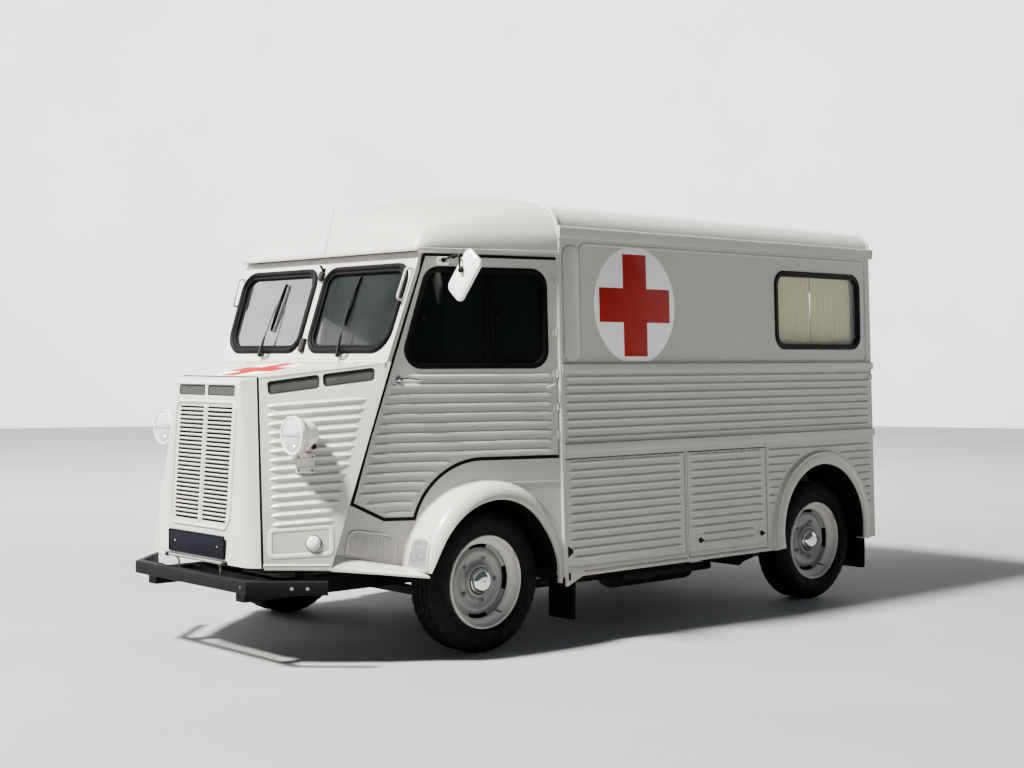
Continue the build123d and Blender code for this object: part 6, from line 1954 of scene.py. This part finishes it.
# ------------------------------------------------------------------ seats
def cushion(name, centre, x, n, wide, deep, thick, corner, channels, body="vehicle_body"):
    """Crowned pad: sides drawn in between the corners, welted edges, sewn channels across the top."""
    P = Plane(centre, x, n)
    base = rect(0, 0, wide, deep, corner, 10)
    per = []
    for a, b in zip(base, base[1:] + base[:1]):
        d = math.hypot(b[0] - a[0], b[1] - a[1])
        k = max(1, int(d / 14.0))
        per += [lerp(a, b, i / k) for i in range(k)]

    def at(p, f):
        pull = 1.0 - 0.020 * (1 - abs(sin(2 * math.atan2(p[1] / deep, p[0] / wide)))) ** 1.5
        return p[0] * f * pull, p[1] * f * pull

    def sewn(u):
        return sum(math.exp(-((u - c) / 6.0) ** 2) for c in channels)

    def ripple(u, v):
        return 0.7 * sin(u * 0.061 + v * 0.043) + 0.5 * sin(u * 0.13 - v * 0.09)
    rows = []
    for f, h in ((0.0, 0.0), (0.5, 0.0), (0.9, 0.0), (0.955, 1.5), (0.978, 7.0)):
        rows.append([P.p(*at(p, f), h) for p in per])
    for k in range(1, 9):
        t = k / 9
        f = 0.978 + 0.020 * sin(pi * t)
        rows.append([P.p(*at(p, f), 7.0 + (thick - 30.0) * t) for p in per])
    m = 26
    for k in range(m + 1):
        q = k / m
        f = (1 - q) * 0.968 if k else 0.974
        row = []
        for p in per:
            u, v = at(p, f)
            cu, cv = 1 - (2 * u / wide) ** 2, 1 - (2 * v / deep) ** 2
            dome_h = max(0.0, cu) ** 0.45 * max(0.0, cv) ** 0.45
            h = thick - 20.0 + 19.0 * dome_h - 5.0 * sewn(u) * min(1.0, dome_h * 1.6) + ripple(u, v) * dome_h
            row.append(P.p(u, v, h))
        rows.append(row)
    g = Geo()
    g.grid(rows, ring=True)
    for h, f in ((7.0, 0.982), (thick - 21.0, 0.980)):
        ring = [P.p(*at(p, f), h) for p in per]
        sweep(g.use(0), ring, [(3.4 * cos(2 * pi * i / 8), 3.4 * sin(2 * pi * i / 8)) for i in range(8)], up=tuple(P.n), closed=True)
    return g


for sx, tag in ((520.0, "left"), (-520.0, "right")):
    g = cushion("c", (sx, -890.0, 911.5), (1, 0, 0), (0, 0, 1), 456.0, 436.0, 108.0, 60.0, (-132.0, -66.0, 0.0, 66.0, 132.0))
    g.make("seat_pad_" + tag, "vehicle_body", ["seat_vinyl"], "seat_vinyl", ["seat_cushions"] if tag == "left" else (), angle=60)
    g = cushion("b", (sx, -659.5, 1215.0), (-1, 0, 0), (0, -1, 0), 446.0, 366.0, 77.0, 60.0, (-128.0, -64.0, 0.0, 64.0, 128.0))
    g.make("seat_back_pad_" + tag, "vehicle_body", ["seat_vinyl"], "seat_vinyl", angle=60)

# ------------------------------------------------------------------ steering wheel, dashboard fittings
SW = Plane((400.0, -1196.0, 1180.0), (1, 0, 0), (0, 0.5, 0.8660254))
g = Geo()
lathe(g.use(0), SW.o, SW.n, [(200 + 12.5 * cos(2 * pi * k / 16), 12.5 * sin(2 * pi * k / 16)) for k in range(17)], 72)
for k in range(36):
    # finger grips under the rim
    a = 2 * pi * k / 36
    dome(g.use(0), SW.p(200 * cos(a), 200 * sin(a), -10.5), -SW.n, 6.5, 3.2, 10)
for du, dv in ((1, 0), (-1, 0), (0, 1)):
    path = [SW.p(du * 30, dv * 30, 2), SW.p(du * 80, dv * 80, 4), SW.p(du * 150, dv * 150, 4), SW.p(du * 197, dv * 197, 0)]
    side = 1.0
    sweep(g.use(0), path, [(-11, -3), (-11, 2), (-7, 4.5), (7, 4.5), (11, 2), (11, -3)], up=tuple(SW.n))
lathe(g.use(0), SW.o, SW.n, [(0, -14), (30, -14), (39, -10), (40, 4), (37, 12), (28, 15), (0, 15)], 40)
lathe(g.use(1), SW.o, SW.n, [(0, 14.5), (22, 14.5), (22, 17), (17, 20), (0, 21)], 32)
g.make("steering_wheel_rim", "steering_wheel", ["control_plastic", "chrome"], "control_plastic", ["steering_wheel"], angle=45)

DASH = Plane((0.0, -1402.0, 1305.0), (-1, 0, 0), (0, 0.9856, -0.169))
g = Geo()
for u, r in ((-400.0, 27.0), (-335.0, 20.0)):
    lathe(g.use(0), DASH.p(u, 2, -0.5), DASH.n, [(0, 0), (r + 4, 0), (r + 4, 5), (r + 2, 7.5), (r, 7), (r, 3.5), (0, 3.5)], 40)
    lathe(g.use(1), DASH.p(u, 2, 3.2), DASH.n, [(0, 0), (r - 1, 0), (r - 1, 0.8), (0, 0.8)], 40)
    for k in range(9):
        a = radians(-130 + 32.5 * k)
        p0, p1 = DASH.p(u + (r - 4) * sin(a), 2 + (r - 4) * cos(a), 4.2), DASH.p(u + (r - 9) * sin(a), 2 + (r - 9) * cos(a), 4.2)
        tube(g.use(2), [p0, p1], 0.7, 5)
    tube(g.use(2), [DASH.p(u, 2, 5.0), DASH.p(u - 0.6 * r, 2 + 0.5 * r, 5.0)], 0.9, 6)
for u in (-470.0, -440.0, -280.0, -250.0, -220.0):
    lathe(g.use(1), DASH.p(u, 0, -0.5), DASH.n, [(0, 0), (5, 0), (4, 8), (8, 12), (8, 17), (5, 20), (0, 20)], 18)
plate(g.use(1), DASH, rect(330.0, 2.0, 280.0, 46.0, 5.0, 4), -0.5, 2.5, 1.0)
tube(g.use(0), bent([DASH.p(250, 10, 0), DASH.p(250, 10, 16), DASH.p(410, 10, 16), DASH.p(410, 10, 0)], 10), 4.0, 10)
g.make("dash_fittings", "vehicle_body", ["chrome", "control_plastic", "white_paint"], "floor_paint", angle=45)

g = Geo()
# gear lever on the column side
tube(g.use(0), bent([(300, -1410, 1240), (296, -1330, 1262), (288, -1270, 1290)], 20), 6.0, 10)
lathe(g.use(1), (288, -1270, 1290), (-0.1, 0.85, 0.5), [(0, -6), (10, -4), (15, 6), (16, 16), (12, 26), (0, 29)], 20)
g.make("gear_lever", "vehicle_body", ["steel", "control_plastic"], "lamp_paint", angle=45)
# ------------------------------------------------------------------ right flank: sliding door
SLIDE = Plane(FLANK.o + FLANK.n * 33.0, FLANK.x, FLANK.n)
g = Geo()
for i in range(21):
    v = 440.0 + 43.0 * i
    if abs(v - 1367.0) > 30 and v < 1345:
        rib(g, SLIDE, (-492.0, v), (222.0, v), RIB_W, 6.5, 34.0)
edging(g, SLIDE, rect(-136.0, 1655.0, 700.0, 470.0, 30.0, 6), half_round(14.0, 4.5))
edging(g, SLIDE, rect(-136.0, 1160.0, 770.0, 1530.0, 28.0, 6), [(-16.0, -0.6), (-16.0, 2.2), (-14.0, 3.2), (-2.0, 3.2), (0.4, 1.6), (0.8, -6.0), (0.0, -6.0)])
g.flipped().make("sliding_door_ribs", "sliding_door", ["body_paint"], "body_paint")

g = Geo()
# sunk dish, lever, key barrel
u, v = -462.0, 1367.0
plate(g.use(0), SLIDE, rect(u + 32, v, 128, 52, 18, 6), -0.5, 5.0, 2.0)
lathe(g.use(0), SLIDE.p(u, v, 4.0), SLIDE.n, [(0, 0), (13, 0), (12, 12), (12, 20), (14, 24), (14, 31), (10, 34), (0, 34)], 24)
tube(g.use(0), bent([SLIDE.p(u, v, 27), SLIDE.p(u + 48, v + 2, 30), SLIDE.p(u + 94, v + 1, 22)], 12), 7.0, 12)
lathe(g.use(1), SLIDE.p(u + 62, v - 14, 4.0), SLIDE.n, [(0, 0), (6, 0), (6, 3), (4, 4), (0, 4)], 18)
g.flipped().make("sliding_door_handle", "sliding_door", ["chrome", "steel"], "lamp_paint", angle=45)

g = Geo()
# hangers from the door up to the top rail, guide shoes below
for u in (-410.0, 140.0):
    plate(g.use(0), SLIDE, rounded([(u - 34, 1880), (u + 34, 1880), (u + 26, 1974), (u - 26, 1974)], 8, 4), -0.5, 4.5, 1.2)
    for du in (-18, 18):
        bolt(g.use(1), SLIDE.p(u + du, 1900, 4.3), SLIDE.n, 6, 4)
    lathe(g.use(1), SLIDE.p(u, 1960, -2.5), SLIDE.n, [(0, 0), (15, 0), (15, 11), (9, 13), (0, 13)], 24)
    plate(g.use(0), SLIDE, rect(u, 402, 60, 26, 5, 4), -0.5, 5.0, 1.2)
    for du in (-18, 18):
        bolt(g.use(1), SLIDE.p(u + du, 402, 4.8), SLIDE.n, 4.5, 3)
g.flipped().make("sliding_door_hangers", "sliding_door", ["body_paint", "steel"], "body_paint", angle=45)
cross_sign("sign_right", SLIDE, -136.0, 1655.0, 205.0, 176.0, 59.0, "sliding_door", mirror=True)

# ------------------------------------------------------------------ rear wall, tailgate and lower doors
def gasket(g, plane, loop):
    edging(g, plane, loop, [(-10, -12), (-11, -3), (-9, 2.5), (-3, 5.5), (4, 7.0), (10, 6.5), (15, 3.5), (16.5, -0.6), (2, -0.6), (1, -12)])


g = Geo()
loop = rect(0, 1668, 1060, 380, 60, 8)
gasket(g, REAR, loop)
g.make("tailgate_seal", "tailgate", ["seal_black"], "flap_rubber", angle=50)

g = Geo()
edging(g, REAR, rounded([(-694, 1352), (694, 1352), (694, 1940), (-694, 1940)], [12, 12, 44, 44], 6), half_round(15.0, 4.5))
for v in (1392.0, 1428.0):
    rib(g, REAR, (-640, v), (-90, v), 24.0, 6.0, 34.0)
    rib(g, REAR, (90, v), (640, v), 24.0, 6.0, 34.0)
g.make("tailgate_pressing", "tailgate", ["body_paint"], "body_paint", angle=50)

g = Geo()
for x in (-500.0, 500.0):
    lathe(g.use(0), (x - 45, 2061.5, 1965.0), (1, 0, 0), [(0, 0), (8, 0), (8, 90), (0, 90)], 20)
    plate(g.use(0), REAR, rect(-x, 1938, 84, 38, 5, 4), -0.4, 3.4, 1.0)
    for dx in (-26, 26):
        bolt(g.use(1), REAR.p(-x + dx, 1934, 3.2), REAR.n, 5, 3)
g.make("tailgate_hinges", "tailgate", ["body_paint", "steel"], "body_paint", angle=45)

g = Geo()
for u in (-36.0, 36.0):
    lathe(g.use(0), REAR.p(u, 1372, -0.5), REAR.n, [(0, 0), (11, 0), (11, 3), (7, 6), (7, 26), (0, 26)], 22)
tube(g.use(0), [REAR.p(-58, 1372, 27), REAR.p(58, 1372, 27)], 7.5, 14)
plate(g.use(0), REAR, rect(0, 1410, 44, 30, 8, 4), -0.5, 4.5, 1.5)
lathe(g.use(1), REAR.p(0, 1410, 4.2), REAR.n, [(0, 0), (7, 0), (7, 3), (5, 4), (0, 4)], 20)
g.make("tailgate_handle", "tailgate", ["chrome", "steel"], "lamp_paint", angle=45)

for side, tag in ((1, "left"), (-1, "right")):
    body = "rear_door_" + tag
    put = (lambda g: g) if side < 0 else (lambda g: g.flipped())
    g = Geo()
    for i in range(20):
        v = 420.0 + 43.0 * i
        if 500 < v < 640:
            rib(g, REAR, (48, v), (110 if tag == "left" else 664, v), 24.0, 7.0, 34.0)
        else:
            rib(g, REAR, (48, v), (664, v), 24.0, 7.0, 34.0)
    edging(g, REAR, rect(359.5, 849.0, 690.0, 926.0, 16.0, 5), half_round(12.0, 3.6))
    put(g).make(f"rear_door_ribs_{tag}", body, ["body_paint"], "body_paint")
    g = Geo()
    for z in (480.0, 850.0, 1220.0):
        lathe(g.use(0), (-719.0, 2061.5, z - 35), (0, 0, 1), [(0, 0), (7.5, 0), (7.5, 70), (0, 70)], 20)
        plate(g.use(0), REAR, rect(684.0, z, 58, 52, 5, 4), -0.4, 3.4, 1.0)
        for dv in (-15, 15):
            bolt(g.use(1), REAR.p(678.0, z + dv, 3.2), REAR.n, 4.6, 3)
    put(g).make(f"rear_door_hinges_{tag}", body, ["body_paint", "steel"], "body_paint", angle=45)

g = Geo()
plate(g.use(0), REAR, rect(62, 1205, 40, 116, 10, 5), 6.0, 10.0, 1.5)
plate(g.use(0), REAR, rect(62, 1205, 30, 104, 8, 5), -0.5, 6.5, 0.5)
lathe(g.use(0), REAR.p(62, 1225, 9.5), REAR.n, [(0, 0), (12, 0), (11, 14), (13, 18), (13, 26), (9, 29), (0, 29)], 24)
tube(g.use(0), bent([REAR.p(62, 1225, 32), REAR.p(104, 1226, 34), REAR.p(152, 1220, 30)], 12), 7.0, 12)
lathe(g.use(1), REAR.p(62, 1176, 9.5), REAR.n, [(0, 0), (6, 0), (6, 3), (4, 4), (0, 4)], 18)
g.make("rear_door_handle", "rear_door_right", ["chrome", "steel"], "lamp_paint", angle=45)

g = Geo()
plate(g.use(0), REAR, rect(-390, 570, 520, 112, 8, 5), 3.0, 6.0, 1.0)
for u in (-600.0, -180.0):
    bolt(g.use(1), REAR.p(u, 570, 5.8), REAR.n, 5, 3, False)
plate(g.use(0), REAR, rect(-390, 570, 60, 60, 8, 5), -0.5, 3.2, 0.5)
lathe(g.use(2), REAR.p(-390, 650, -0.5), REAR.n, [(0, 0), (24, 0), (24, 14), (20, 22), (0, 24)], 24)
g.make("rear_plate_blank", "rear_door_left", ["plate_paint", "steel", "lamp_paint"], "plate_paint", angle=45)

g = Geo()
for s in (-1, 1):
    for v, r, k in ((640.0, 40.0, 1), (540.0, 40.0, 2)):
        u = s * 862.0
        lathe(g.use(0), REAR.p(u, v, -0.5), REAR.n, [(0, 0), (r + 7, 0), (r + 7, 9), (r + 3, 14), (r, 14), (r, 8), (0, 8)], 40)
        lathe(g.use(k), REAR.p(u, v, 8), REAR.n, [(0, 0), (r - 0.5, 0), (r - 0.5, 8), (r - 4, 13), (r * 0.6, 17), (r * 0.25, 18.5), (0, 19)], 40)
        for ang in (0.0, pi):
            dome(g.use(3), REAR.p(u + (r + 3.5) * cos(ang), v + (r + 3.5) * sin(ang), 12.0), REAR.n, 2.4, 1.6, 10)
g.make("rear_lamps", "vehicle_body", ["chrome", "lens_red", "amber", "steel"], "lamp_paint", angle=45)

CAP = Plane((0, 2091.6, 0), (-1, 0, 0), (0, 1, 0))
g = Geo()
for s in (-1, 1):
    edging(g, CAP, rect(s * 860.0, 372.0, 150.0, 44.0, 12.0, 5), [(-1.0, 3.0), (2.0, 2.0), (3.0, -1.0), (3.0, -24.0), (0.2, -24.0), (0.2, 0.2), (-6.0, 0.4), (-6.0, 3.0)])
    plate(g, CAP, rect(s * 860.0, 372.0, 140.0, 34.0, 8.0, 5), -0.4, 2.6, 0.8)
    for k in range(5):
        rib(g, CAP, (s * 860 - 56, 360 + 6 * k), (s * 860 + 56, 360 + 6 * k), 3.4, 2.0, 6.0, 0.5, 2.2, 5, 2)
g.make("rear_buffer_caps", "vehicle_body", ["flap_rubber"], "flap_rubber", angle=45)
